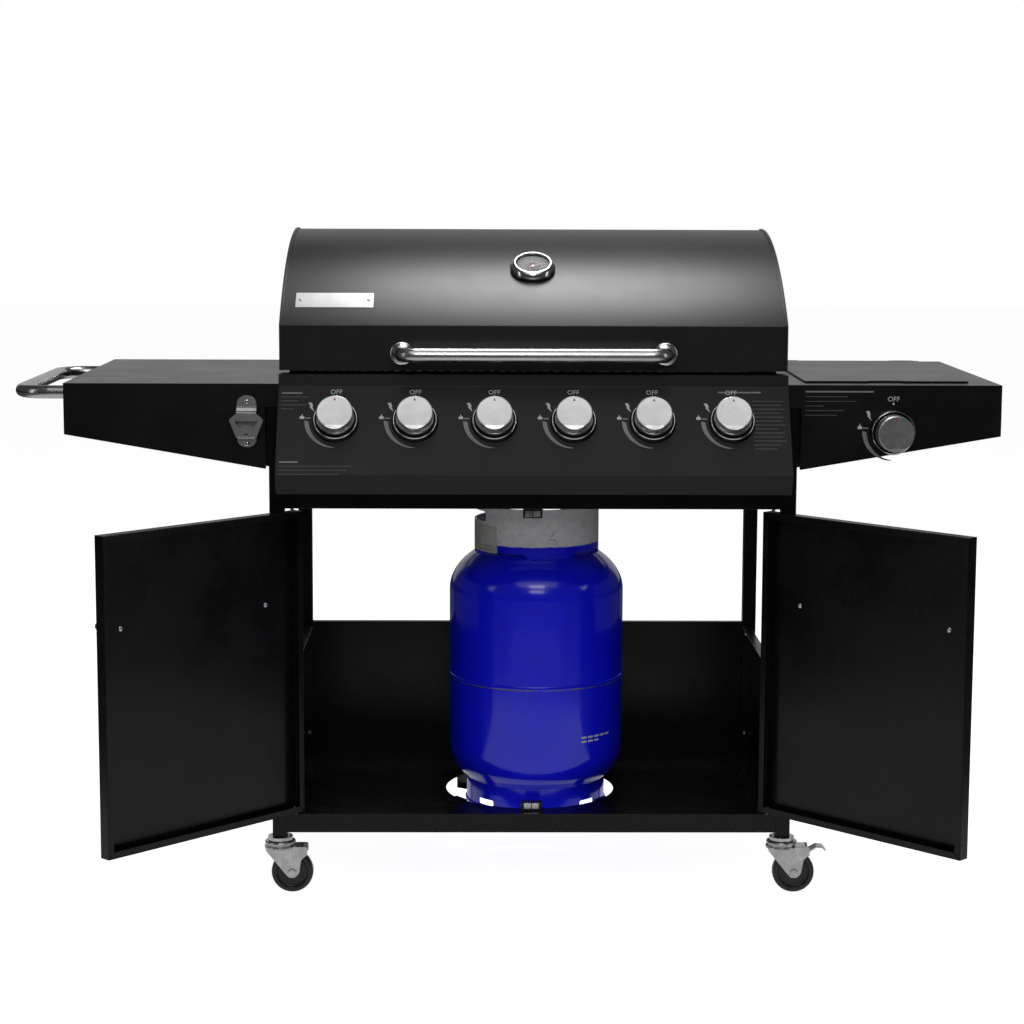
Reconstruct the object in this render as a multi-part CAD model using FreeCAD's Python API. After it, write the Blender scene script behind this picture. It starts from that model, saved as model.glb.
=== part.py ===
import FreeCAD, Part
import math
import os

V = FreeCAD.Vector

# ---------------------------------------------------------------------------
# Driving dimensions, millimetres.  X runs left to right, Y front to back and
# Z up.  The design frame has X = 0 midway between the legs, Y = 0 at the
# front edge of the side shelves and Z = 0 on the ground.  export_all moves
# every piece by the same amount, so that the origin sits under the middle of
# the whole grill.
# ---------------------------------------------------------------------------
SHEET = 1.2                 # painted sheet steel
FIT = 0.05                  # running clearance, per side, round a pin

# cart
TUBE = 24.0                 # square leg tube
TUBE_WALL = 1.5
FRONT_LEG_X = 434.0         # outer face of a front leg
REAR_LEG_X = 420.0          # outer face of a rear leg
FRONT_LEG_Y = 2.0           # front face of a front leg
REAR_LEG_Y = 425.0          # front face of a rear leg
LEG_BOTTOM = 96.0
FRONT_LEG_TOP = 820.0
BEAM_BOTTOM = 652.0
BEAM_TOP = 676.0
DECK_TOP = 136.0            # top of the bottom shelf
DECK_BOTTOM = 104.0         # lower edge of its folded front rail
BACK_PANEL_TOP = 385.0
SIDE_PANEL_TOP = 379.0

# gas bottle and the hole it stands in
BOTTLE_X, BOTTLE_Y = 10.0, 185.0
BOTTLE_R = 150.0
BOTTLE_HOLE_R = 146.0
BOTTLE_SEAT = 118.0         # top of the rests that carry the foot ring
FOOT_R = 120.0
BODY_LOW, BODY_HIGH = 222.0, 505.0
DOME_LOW, DOME_HIGH = 82.0, 80.0
COLLAR_R, COLLAR_TOP = 107.0, 640.0

# doors, drawn closed and then swung open
DOOR_OPEN = 134.0           # degrees from closed to the stop on the leg
DOOR_BOTTOM, DOOR_TOP = 139.5, 648.0
DOOR_OUTER, DOOR_INNER = 407.5, 1.5
DOOR_DEPTH = 20.0
DOOR_LIP = 11.0
DOOR_PIN_X, DOOR_PIN_Y, DOOR_PIN_R = 397.0, 6.0, 3.0
HANDLE_Z = 497.0
HANDLE_POSTS = (55.0, 350.0)  # distance of the posts from the pin

# control panel
PANEL_HALF = 416.0
PANEL_TOP = 874.0
FACE_TOP_Y, FACE_TOP_Z = -8.0, 855.0
FACE_LOW_Y, FACE_LOW_Z = -95.0, 719.0
PANEL_LOW_Y, PANEL_LOW_Z = -77.0, 686.0
FACE_LENGTH = math.hypot(FACE_TOP_Y - FACE_LOW_Y, FACE_TOP_Z - FACE_LOW_Z)
FACE_OUT = V(0, -(FACE_TOP_Z - FACE_LOW_Z), FACE_TOP_Y - FACE_LOW_Y) * (1 / FACE_LENGTH)
FACE_UP = V(0, FACE_TOP_Y - FACE_LOW_Y, FACE_TOP_Z - FACE_LOW_Z) * (1 / FACE_LENGTH)

# knobs
KNOB_COUNT = 6
KNOB_PITCH = 128.5
KNOB_DROP = 65.0            # from the top fold of the face to the knob centres
KNOB_R, KNOB_TALL = 30.0, 36.0
BEZEL_R = 38.0
STEM_R = 3.0
SIDE_KNOB_X, SIDE_KNOB_Z = 590.0, 781.0

# side shelves
SHELF_TOP = 858.0
SHELF_END = 768.0
SHELF_INNER = 416.4
FASCIA_INNER = 439.5
SHELF_DEPTH = 543.0
FASCIA_OUTER_DROP = 84.0
FASCIA_INNER_DROP = 140.0
STRIP_DROP = 38.0

# towel bar
TOWEL_R = 11.0
TOWEL_X, TOWEL_Z = 849.0, 841.0
TOWEL_FRONT_Y, TOWEL_REAR_Y = 30.0, 455.0
TOWEL_BEND = 52.0

# side burner, its opening and its lid
SIDE_X = 585.0
WELL_X0, WELL_X1, WELL_Y0, WELL_Y1 = 455.0, 716.0, 49.0, 511.0
LID_PIN_Y, LID_PIN_Z, LID_PIN_R = 521.0, SHELF_TOP, 1.8
LID_BARREL_R = 3.4

# firebox
BOX_HALF = 402.0
BOX_FRONT, BOX_REAR = 40.0, 468.0
BOX_TOP = 876.0
BOX_KNEE, BOX_FLOOR = 745.0, 692.0
BOX_MOUTH = 90.0
BOX_WALL = 2.0
BURNER_Z, BURNER_R = 770.0, 15.0
TRAY_TOP = BOX_FLOOR - 2.4  # rim of the grease tray, just under the firebox mouth
GRATE_Z = 845.0

# hood
HOOD_HALF = 415.0
HOOD_LOW = 880.0
HOOD_R = 578.0              # long roof arc
CREST_Y, CREST_Z = 388.0, 1103.0
REAR_R = 92.0               # arc from the crest down to the back wall
HOOD_BACK = CREST_Y + REAR_R
HOOD_BACK_LOW = 905.0
HOOD_PIN_Y, HOOD_PIN_Z, HOOD_PIN_R = 462.0, 892.0, 4.0
GRIP_R, GRIP_BEND = 11.7, 22.0
GRIP_X, GRIP_Y, GRIP_Z = 215.0, -45.0, 908.0
GAUGE_Y = 125.0             # where the thermometer sits on the roof arc
GAUGE_LEAN = 58.0           # its axis above the horizontal, degrees
GAUGE_R = 38.0

# casters
WHEEL_R, WHEEL_WIDE = 35.0, 24.0
CASTER_TRAIL = 20.0
RACE_TOP = 89.0
FORK_GAP = 14.0             # inner face of a fork cheek from the wheel's middle
AXLE_R = 4.0
SWIVEL_R = 6.0
PEDAL_X, PEDAL_Z = 46.0, 71.0

X_AXIS, Y_AXIS, Z_AXIS = V(1, 0, 0), V(0, 1, 0), V(0, 0, 1)

# ---------------------------------------------------------------------------
# Small helpers
# ---------------------------------------------------------------------------
def box(x0, x1, y0, y1, z0, z1):
    """Box between two corners."""
    return Part.makeBox(x1 - x0, y1 - y0, z1 - z0, V(x0, y0, z0))


def rod(start, direction, radius, length):
    """Round rod from start along direction."""
    return Part.makeCylinder(radius, length, start, direction)


def ring(start, direction, outer, inner, length):
    """Round tube from start along direction."""
    return rod(start, direction, outer, length).cut(rod(start, direction, inner, length))


def link(a, b, radius):
    """Round rod between two points."""
    return rod(a, b - a, radius, (b - a).Length)


def fuse(shapes):
    """One clean solid from touching shapes."""
    first = shapes[0]
    if len(shapes) > 1:
        first = first.multiFuse(list(shapes[1:]))
    return first.removeSplitter()


def cut(shape, tools):
    """Shape with every tool taken away."""
    return shape.cut(list(tools))


def mirrored(shape):
    """The same shape on the other side of X = 0."""
    return shape.mirror(V(0, 0, 0), X_AXIS)


def both(shape):
    """A right-hand shape and its left-hand twin."""
    return [shape, mirrored(shape)]


def turned(shape, centre, axis, degrees):
    """A copy of shape turned about an axis through centre."""
    copy = shape.copy()
    copy.rotate(centre, axis, degrees)
    return copy


def extrude_yz(points, x0, x1):
    """Prism along X from (y, z) corners."""
    ring_points = [V(x0, y, z) for y, z in points]
    face = Part.Face(Part.makePolygon(ring_points + ring_points[:1]))
    return face.extrude(V(x1 - x0, 0, 0))


def extrude_xz(points, y0, y1):
    """Prism along Y from (x, z) corners."""
    ring_points = [V(x, y0, z) for x, z in points]
    face = Part.Face(Part.makePolygon(ring_points + ring_points[:1]))
    return face.extrude(V(0, y1 - y0, 0))


def extrude_xy(points, z0, z1):
    """Prism along Z from (x, y) corners."""
    ring_points = [V(x, y, z0) for x, y in points]
    face = Part.Face(Part.makePolygon(ring_points + ring_points[:1]))
    return face.extrude(V(0, 0, z1 - z0))


def folded(points, thickness):
    """Outline of a folded sheet: the open line of points and its mitred offset to the left."""
    normals = []
    for (a0, b0), (a1, b1) in zip(points, points[1:]):
        length = math.hypot(a1 - a0, b1 - b0)
        normals.append(((b0 - b1) / length, (a1 - a0) / length))
    offset = []
    for index, (a, b) in enumerate(points):
        before = normals[max(index - 1, 0)]
        after = normals[min(index, len(normals) - 1)]
        share = thickness / (1 + before[0] * after[0] + before[1] * after[1])
        offset.append((a + (before[0] + after[0]) * share, b + (before[1] + after[1]) * share))
    return list(points) + offset[::-1]


def revolve(profile, base, direction):
    """Solid of revolution from (radius, height) corners, height along direction from base."""
    corners = [V(r, 0, h) for r, h in profile]
    face = Part.Face(Part.makePolygon(corners + corners[:1]))
    shape = face.revolve(V(0, 0, 0), Z_AXIS, 360)
    shape.Placement = FreeCAD.Placement(base, FreeCAD.Rotation(Z_AXIS, direction))
    return shape


def bent_bar(start, end, reach, radius, bend):
    """Round bar bent into a U: out from start by reach, across, and back to end."""
    out = reach * (1 / reach.Length)
    across = (end - start) * (1 / (end - start).Length)
    near, far = start + reach, end + reach
    ease = bend * (1 - math.sqrt(0.5))
    edges = [Part.makeLine(start, near - out * bend),
             Part.Arc(near - out * bend, near + (across - out) * ease, near + across * bend).toShape(),
             Part.makeLine(near + across * bend, far - across * bend),
             Part.Arc(far - across * bend, far - (across + out) * ease, far - out * bend).toShape(),
             Part.makeLine(far - out * bend, end)]
    section = Part.Wire([Part.makeCircle(radius, start, out)])
    return Part.Wire(edges).makePipeShell([section], True, False)


def face_point(x, drop, out=0.0):
    """Point on the sloping face: drop below its top fold and out from it."""
    return V(x, FACE_TOP_Y, FACE_TOP_Z) - FACE_UP * drop + FACE_OUT * out


def knob_xs():
    """X of each knob on the sloping face."""
    return [(i - (KNOB_COUNT - 1) / 2) * KNOB_PITCH for i in range(KNOB_COUNT)]


def knob_seats():
    """Every knob's seat: (point on its panel, outward direction)."""
    seats = [(face_point(x, KNOB_DROP), FACE_OUT) for x in knob_xs()]
    seats.append((V(SIDE_KNOB_X, 0, SIDE_KNOB_Z), V(0, -1, 0)))
    return seats


def leg_centres():
    """Centre lines of the four legs as (x, y)."""
    half = TUBE / 2
    front, rear = FRONT_LEG_X - half, REAR_LEG_X - half
    return {
        "front_left": (-front, FRONT_LEG_Y + half),
        "front_right": (front, FRONT_LEG_Y + half),
        "rear_left": (-rear, REAR_LEG_Y + half),
        "rear_right": (rear, REAR_LEG_Y + half),
    }


# ---------------------------------------------------------------------------
# Cart
# ---------------------------------------------------------------------------
def square_tube(x0, x1, y0, y1, z0, z1, along):
    """Hollow square tube whose open ends face along the named axis."""
    w = TUBE_WALL
    inner = {
        "x": box(x0, x1, y0 + w, y1 - w, z0 + w, z1 - w),
        "y": box(x0 + w, x1 - w, y0, y1, z0 + w, z1 - w),
        "z": box(x0 + w, x1 - w, y0 + w, y1 - w, z0, z1),
    }[along]
    return box(x0, x1, y0, y1, z0, z1).cut(inner)


def legs():
    """Four upright square tubes; the front pair runs on up beside the firebox."""
    front = square_tube(FRONT_LEG_X - TUBE, FRONT_LEG_X, FRONT_LEG_Y, FRONT_LEG_Y + TUBE,
                        LEG_BOTTOM, FRONT_LEG_TOP, "z")
    rear = square_tube(REAR_LEG_X - TUBE, REAR_LEG_X, REAR_LEG_Y, REAR_LEG_Y + TUBE,
                       LEG_BOTTOM, BEAM_TOP, "z")
    return both(front) + both(rear)


def front_beam():
    """Tube across the front, under the control panel."""
    half = FRONT_LEG_X - TUBE
    return [square_tube(-half, half, FRONT_LEG_Y, FRONT_LEG_Y + 20, BEAM_BOTTOM, BEAM_TOP, "x")]


def top_rails():
    """Rear cross tube and the two side tubes that carry the firebox."""
    half = REAR_LEG_X - TUBE
    rear = square_tube(-half, half, REAR_LEG_Y + 2, REAR_LEG_Y + 22, BEAM_BOTTOM, BEAM_TOP, "x")
    side = square_tube(398, 418, FRONT_LEG_Y + TUBE, REAR_LEG_Y, BEAM_BOTTOM, BEAM_TOP, "y")
    return [rear] + both(side)


def tray_rails():
    """Two angle runners for the grease tray, hung between the cross tubes."""
    y0, y1 = FRONT_LEG_Y + 20, REAR_LEG_Y + 2
    angle = folded([(92, TRAY_TOP - 2.6), (104, TRAY_TOP - 2.6), (104, BEAM_TOP - 16)], SHEET)
    return both(extrude_xz(angle, y0, y1))


def bottom_shelf():
    """Pan with folded edges and the round hole for the bottle."""
    front_half, rear_half = FRONT_LEG_X - TUBE, REAR_LEG_X - TUBE
    rear = REAR_LEG_Y + TUBE
    notch = REAR_LEG_Y
    outline = [(-front_half, FRONT_LEG_Y), (front_half, FRONT_LEG_Y), (front_half, notch),
               (rear_half, notch), (rear_half, rear), (-rear_half, rear),
               (-rear_half, notch), (-front_half, notch)]
    inner = [(-front_half + SHEET, FRONT_LEG_Y + SHEET), (front_half - SHEET, FRONT_LEG_Y + SHEET),
             (front_half - SHEET, notch - SHEET), (rear_half - SHEET, notch - SHEET),
             (rear_half - SHEET, rear - SHEET), (-rear_half + SHEET, rear - SHEET),
             (-rear_half + SHEET, notch - SHEET), (-front_half + SHEET, notch - SHEET)]
    pan = extrude_xy(outline, DECK_BOTTOM, DECK_TOP)
    pan = pan.cut(extrude_xy(inner, DECK_BOTTOM, DECK_TOP - SHEET))
    hole = rod(V(0, BOTTLE_Y, DECK_BOTTOM), Z_AXIS, BOTTLE_HOLE_R, 60)
    return [pan.cut(hole)]


def bottle_rests():
    """Four stepped tabs riveted round the hole; the bottle's foot ring sits on them."""
    rests = []
    centre = V(0, BOTTLE_Y, 0)
    for angle in (35, 145, 215, 325):
        line = [(174, DECK_TOP), (145, DECK_TOP), (145, BOTTLE_SEAT - 2), (106, BOTTLE_SEAT - 2)]
        tab = extrude_xz(folded(line, -2.0), -16, 16)
        heads = [rod(V(162, side, DECK_TOP + 2), Z_AXIS, 3.5, 1.5) for side in (-8, 8)]
        tab = fuse([tab] + heads)
        tab.translate(centre)
        rests.append(turned(tab, centre, Z_AXIS, angle))
    return rests


def back_panel():
    """Half-height rear sheet between the rear legs, with folded top and sides."""
    half = REAR_LEG_X - TUBE
    y = REAR_LEG_Y + 4
    sheet = box(-half, half, y + 12, y + 12 + SHEET, DECK_TOP, BACK_PANEL_TOP)
    top = box(-half, half, y, y + 12, BACK_PANEL_TOP - SHEET, BACK_PANEL_TOP)
    side = box(half - SHEET, half, y, y + 12, DECK_TOP, BACK_PANEL_TOP)
    return [fuse([sheet, top] + both(side))]


def side_panels():
    """Half-height side sheets with folded edges, from front leg to rear leg."""
    outer = FRONT_LEG_X - TUBE
    y0, y1 = FRONT_LEG_Y + TUBE, REAR_LEG_Y
    sheet = box(outer - SHEET, outer, y0, y1, DECK_TOP, SIDE_PANEL_TOP)
    top = box(outer - 16, outer, y0, y1, SIDE_PANEL_TOP - SHEET, SIDE_PANEL_TOP)
    front = box(outer - SHEET, outer + 20, y0, y0 + SHEET, DECK_TOP, SIDE_PANEL_TOP)
    rear = box(outer - 14, outer, y1 - SHEET, y1, DECK_TOP, SIDE_PANEL_TOP)
    return both(fuse([sheet, top, front, rear]))


def frame_screws():
    """Pan-head screws that hold the panels to the legs and the shelves to the cart."""
    head = [(0, 0), (4, 0), (4, 1.2), (2.6, 2.4), (0, 2.8)]
    screws = []
    inner = FRONT_LEG_X - TUBE - SHEET
    for z in (SIDE_PANEL_TOP - 16, DECK_TOP + 40):
        screws += both(revolve(head, V(inner - 6, REAR_LEG_Y - SHEET, z), V(0, -1, 0)))
    back = REAR_LEG_Y + 16 + SHEET
    for z in (BACK_PANEL_TOP - 18, DECK_TOP + 40):
        screws += both(revolve(head, V(200, back, z), Y_AXIS))
    for z in (SHELF_TOP - 22, SHELF_TOP - 42):
        screws.append(revolve(head, V(SHELF_END, 24, z), X_AXIS))
    for y in (70, 380):
        screws += both(revolve(head, V(FRONT_LEG_X + 4.4, y, SHELF_TOP - 22), X_AXIS))
    return screws


def door_catches():
    """Double magnetic catches behind the front beam and at the front of the bottom shelf."""
    y0, y1 = FRONT_LEG_Y + 20, FRONT_LEG_Y + 38
    top = box(-16, 16, y0, y1, 634, 662)
    low = box(-18, 18, y0, y1, DECK_TOP, DECK_TOP + 14)
    plates = [box(x - 5, x + 5, y0 - 0.8, y0, z, z + 9)
              for x in (-9, 9) for z in (637, DECK_TOP + 4)]
    upper = fuse([top, plates[0], plates[2]])
    lower = fuse([low, plates[1], plates[3]])
    return [upper, lower]


def caster_sockets():
    """Plug, flange and swivel stem in the foot of each leg."""
    plug_half = TUBE / 2 - TUBE_WALL
    sockets = []
    for x, y in leg_centres().values():
        plug = box(x - plug_half, x + plug_half, y - plug_half, y + plug_half,
                   LEG_BOTTOM, LEG_BOTTOM + 28)
        flange = rod(V(x, y, RACE_TOP + 1), Z_AXIS, 21, LEG_BOTTOM - RACE_TOP - 1)
        stem = rod(V(x, y, 70), Z_AXIS, SWIVEL_R, LEG_BOTTOM - 70)
        head = rod(V(x, y, 70), Z_AXIS, 9.5, 4)
        sockets.append(fuse([plug, flange, stem, head]))
    return sockets


# ---------------------------------------------------------------------------
# Hinge pins
# ---------------------------------------------------------------------------
def hinge_pins():
    """Pins of the doors, the hood and the side-burner lid, all fixed to their frames."""
    x, y, r = DOOR_PIN_X, DOOR_PIN_Y, DOOR_PIN_R
    door_top = rod(V(x, y, DOOR_TOP - 8), Z_AXIS, r, BEAM_BOTTOM - DOOR_TOP + 8)
    door_low = rod(V(x, y, DECK_TOP), Z_AXIS, r, DOOR_BOTTOM - DECK_TOP + 8)
    spacer = rod(V(x, y, DECK_TOP), Z_AXIS, r + 2.5, DOOR_BOTTOM - DECK_TOP - 0.3)
    door_low = fuse([door_low, spacer])
    hood = rod(V(BOX_HALF - 8, HOOD_PIN_Y, HOOD_PIN_Z), X_AXIS, HOOD_PIN_R, HOOD_HALF - BOX_HALF + 8)
    neck = rod(V(BOX_HALF - 8, HOOD_PIN_Y, HOOD_PIN_Z), X_AXIS, HOOD_PIN_R + 3, 5)
    hood = fuse([hood, neck])
    pins = both(door_top) + both(door_low) + both(hood)
    for x0, x1 in lid_knuckle_spans():
        pins.append(rod(V(x0 - 5, LID_PIN_Y, LID_PIN_Z), X_AXIS, LID_PIN_R, x1 - x0 + 10))
    return pins


# ---------------------------------------------------------------------------
# Firebox and what is in it
# ---------------------------------------------------------------------------
def firebox():
    """Open-topped steel trough with a sloping floor, ledges, ears and feet."""
    w = BOX_WALL
    section = folded([(-BOX_MOUTH, BOX_FLOOR), (-BOX_HALF, BOX_KNEE), (-BOX_HALF, BOX_TOP)], -w)
    left = extrude_xz(section, BOX_FRONT, BOX_REAR)
    plate = [(-BOX_HALF, BOX_TOP), (-BOX_HALF, BOX_KNEE), (-BOX_MOUTH, BOX_FLOOR),
             (BOX_MOUTH, BOX_FLOOR), (BOX_HALF, BOX_KNEE), (BOX_HALF, BOX_TOP)]
    front = extrude_xz(plate, BOX_FRONT, BOX_FRONT + w)
    rear = extrude_xz(plate, BOX_REAR - w, BOX_REAR)
    mouths = [rod(V(x, BOX_FRONT - 5, BURNER_Z), Y_AXIS, BURNER_R + 1.5, 12) for x in knob_xs()]
    front = cut(front, mouths)
    parts = [left, mirrored(left), front, rear]
    half = BOX_HALF - w
    for z in (GRATE_Z - 2, 790.0):
        parts.append(box(-half, half, BOX_FRONT + w, BOX_FRONT + w + 12, z, z + w))
        parts.append(box(-half, half, BOX_REAR - w - 12, BOX_REAR - w, z, z + w))
    rest_z = BURNER_Z - BURNER_R - w
    parts.append(box(-half, half, BOX_REAR - w - 20, BOX_REAR - w, rest_z, rest_z + w))
    for y in (60, 380):
        parts += both(box(BOX_HALF - 4, BOX_HALF, y, y + 40, BEAM_TOP, BOX_KNEE + 2))
    ear = box(BOX_HALF - w, BOX_HALF, HOOD_PIN_Y - 12, HOOD_PIN_Y + 6, BOX_TOP - 6, HOOD_PIN_Z + 12)
    ear = ear.cut(rod(V(BOX_HALF - w - 1, HOOD_PIN_Y, HOOD_PIN_Z), X_AXIS, HOOD_PIN_R, 6))
    parts += both(ear)
    return [fuse(parts)]


def burner_tubes():
    """Six straight tube burners with a row of ports along each side."""
    tubes = []
    y0, y1 = BOX_FRONT - 8, BOX_REAR - 8
    for x in knob_xs():
        tube = ring(V(x, y0, BURNER_Z), Y_AXIS, BURNER_R, BURNER_R - 1.2, y1 - y0)
        end = rod(V(x, y1 - 2, BURNER_Z), Y_AXIS, BURNER_R - 1.2, 2)
        shutter = ring(V(x, y0 - 2, BURNER_Z), Y_AXIS, BURNER_R + 1.0, BURNER_R, 8)
        window = box(x - 6, x + 6, y0 + 8, y0 + 20, BURNER_Z - 20, BURNER_Z)
        tubes.append(fuse([tube, end, shutter]).cut(window))
    return tubes


def flame_tamers():
    """Six roof-shaped steel covers, one above each burner."""
    tamers = []
    y0, y1 = BOX_FRONT + 4, BOX_REAR - 4
    for x in knob_xs():
        line = [(x - 46, 794.2), (x, 820), (x + 46, 794.2)]
        tamers.append(extrude_xz(folded(line, -1.5), y0, y1))
    return tamers


def cooking_grates():
    """Three cast grates side by side, each a plate with long slots between its bars."""
    grates = []
    wide, gap, count = 264.0, 1.5, 3
    y0, y1 = BOX_FRONT + 4, BOX_REAR - 4
    bars = 13
    rim = 9.0
    pitch = (wide - gap - 2 * rim + 6) / bars
    for index in range(count):
        x0 = (index - count / 2) * wide + gap / 2
        x1 = x0 + wide - gap
        plate = box(x0, x1, y0, y1, GRATE_Z, GRATE_Z + 11)
        middle = (y0 + y1) / 2
        slots = []
        for n in range(bars):
            a = x0 + rim + n * pitch
            slots.append(box(a, a + pitch - 6, y0 + rim, middle - 4, GRATE_Z - 1, GRATE_Z + 12))
            slots.append(box(a, a + pitch - 6, middle + 4, y1 - rim, GRATE_Z - 1, GRATE_Z + 12))
        grates.append(cut(plate, slots))
    return grates


def warming_rack():
    """Raised wire rack over the rear of the grates, on four wire legs."""
    r = 2.5
    x1, y0, y1, z = 385.0, 300.0, 420.0, 945.0
    bars = [link(V(-x1, y, z), V(x1, y, z), r) for y in (y0, y1)]
    for index in range(23):
        x = -x1 + index * 2 * x1 / 22
        bars.append(link(V(x, y0 - 4, z), V(x, y1 + 4, z), r))
    for side in (-1, 1):
        for y in (y0 + 20, y1 - 20):
            bars.append(link(V(side * x1, y, BOX_TOP), V(side * x1, y, z), r))
        bars.append(link(V(side * x1, y0 + 20, BOX_TOP + 3), V(side * x1, y1 - 20, BOX_TOP + 3), r))
        foot = box(side * x1 - 3 if side > 0 else -BOX_HALF, BOX_HALF if side > 0 else -x1 + 3,
                   y0 + 14, y1 - 14, BOX_TOP, BOX_TOP + 3)
        bars.append(foot)
    return [fuse(bars)]


def gas_manifold():
    """Supply pipe behind the panel, a stub to every valve, and the branch to the side burner."""
    pipe_y, pipe_z = -8.0, 742.0
    parts = [link(V(-392, pipe_y, pipe_z), V(400, pipe_y, pipe_z), 8)]
    for x in knob_xs():
        parts.append(link(V(x, pipe_y, pipe_z), V(x, pipe_y, pipe_z + 20), 5))
    inlet = V(-360, pipe_y, pipe_z)
    parts.append(link(inlet, inlet - V(0, 0, 34), 6))
    parts.append(rod(inlet - V(0, 0, 30), Z_AXIS, 9, 10))
    way = [V(399, pipe_y, pipe_z), V(406, pipe_y, pipe_z), V(406, 34, pipe_z),
           V(SIDE_KNOB_X, 34, pipe_z), V(SIDE_KNOB_X, 34, SIDE_KNOB_Z - 10.5)]
    for a, b in zip(way, way[1:]):
        parts.append(link(a, b, 3))
        parts.append(Part.makeSphere(3, b) if b != way[-1] else link(b - V(0, 0, 6), b, 4))
    return [fuse(parts)]


def burner_valves():
    """Seven brass tap bodies, each with a jet that points into its burner."""
    valves = []
    bore = rod(V(0, 0, -1), Z_AXIS, STEM_R + FIT, 22)
    for seat, out in knob_seats():
        base = seat - out * 14
        body = revolve([(0, -34), (10, -34), (10, -6), (7.5, -6), (7.5, 0), (0, 0)], base, out)
        hole = bore.copy()
        hole.Placement = FreeCAD.Placement(base - out * 20, FreeCAD.Rotation(Z_AXIS, out))
        if out.z > 0.01:
            middle = base - out * 24
            jet = link(V(seat.x, middle.y + 4, BURNER_Z), V(seat.x, BOX_FRONT + 2, BURNER_Z), 3.5)
            block = box(seat.x - 7, seat.x + 7, middle.y - 4, middle.y + 12, BURNER_Z - 6, BURNER_Z + 8)
            valves.append(fuse([body, block, jet]).cut(hole))
        else:
            jet = link(base - out * 30, base - out * 46, 3.5)
            valves.append(fuse([body, jet]).cut(hole))
    return valves


def igniter_electrodes():
    """A ceramic spark rod with its wire tip beside every burner."""
    rods = []
    for x in knob_xs():
        ceramic = link(V(x + 26, BOX_FRONT + 2, 776), V(x + 26, BOX_FRONT + 40, 776), 4)
        tip = link(V(x + 26, BOX_FRONT + 38, 776), V(x + 26, BOX_FRONT + 54, 776), 1.2)
        rods.append(fuse([ceramic, tip]))
    return rods


# ---------------------------------------------------------------------------
# Control panel, bezels and knobs
# ---------------------------------------------------------------------------
def control_panel():
    """Folded front panel with closed ends and a round hole for every tap."""
    line = [(34, PANEL_TOP), (-6, PANEL_TOP), (FACE_TOP_Y, FACE_TOP_Z), (FACE_LOW_Y, FACE_LOW_Z),
            (PANEL_LOW_Y, PANEL_LOW_Z), (0, PANEL_LOW_Z)]
    skin = extrude_yz(folded(line, SHEET), -PANEL_HALF, PANEL_HALF)
    end_line = [(0, PANEL_TOP), (-6, PANEL_TOP), (FACE_TOP_Y, FACE_TOP_Z), (FACE_LOW_Y, FACE_LOW_Z),
                (PANEL_LOW_Y, PANEL_LOW_Z), (0, PANEL_LOW_Z)]
    end = extrude_yz(end_line, PANEL_HALF - SHEET, PANEL_HALF)
    panel = fuse([skin] + both(end))
    holes = [rod(seat - out * 10, out, 5.5, 20) for seat, out in knob_seats()[:-1]]
    return [cut(panel, holes)]


def knob_bezels():
    """Flared ring round the foot of every knob."""
    profile = [(33, 0), (BEZEL_R, 0), (BEZEL_R - 0.8, 3), (36, 8), (35, 10), (33.6, 10), (33, 9)]
    return [revolve(profile, seat, out) for seat, out in knob_seats()]


def knob(seat, out):
    """Round knob with a step at its foot and a flat on its face, and the tap stem it turns."""
    foot, top = 2.0, KNOB_TALL
    profile = [(0, foot), (31, foot), (31, 13), (29.4, 13.6), (KNOB_R, 15.5), (KNOB_R, top - 2.5),
               (KNOB_R - 0.7, top - 0.8), (KNOB_R - 2.5, top), (0, top)]
    body = revolve(profile, V(0, 0, 0), Z_AXIS)
    hollow = revolve([(7, foot), (27.5, foot), (27.5, 16), (7, 16)], V(0, 0, 0), Z_AXIS)
    dish = Part.makeSphere(170, V(0, 0, top + 169.2))
    flat = Part.makeBox(80, 20, 20)
    flat.rotate(V(0, 0, 0), X_AXIS, 14)
    flat.translate(V(-40, -KNOB_R - 13, top - 4.4))
    bore = rod(V(0, 0, foot), Z_AXIS, STEM_R, 18)
    body = cut(body, [hollow, dish, flat, bore])
    stem = rod(V(0, 0, -30), Z_AXIS, STEM_R, 30 + foot + 17)
    pair = []
    up = V(0, 0, 1) - out * out.z
    right = up.cross(out)
    matrix = FreeCAD.Matrix()
    matrix.A11, matrix.A21, matrix.A31 = right.x / right.Length, right.y / right.Length, right.z / right.Length
    matrix.A12, matrix.A22, matrix.A32 = up.x / up.Length, up.y / up.Length, up.z / up.Length
    matrix.A13, matrix.A23, matrix.A33 = out.x, out.y, out.z
    placement = FreeCAD.Placement(matrix)
    placement.Base = seat
    for shape in (body, stem):
        shape.Placement = placement
        pair.append(shape)
    return pair


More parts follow.
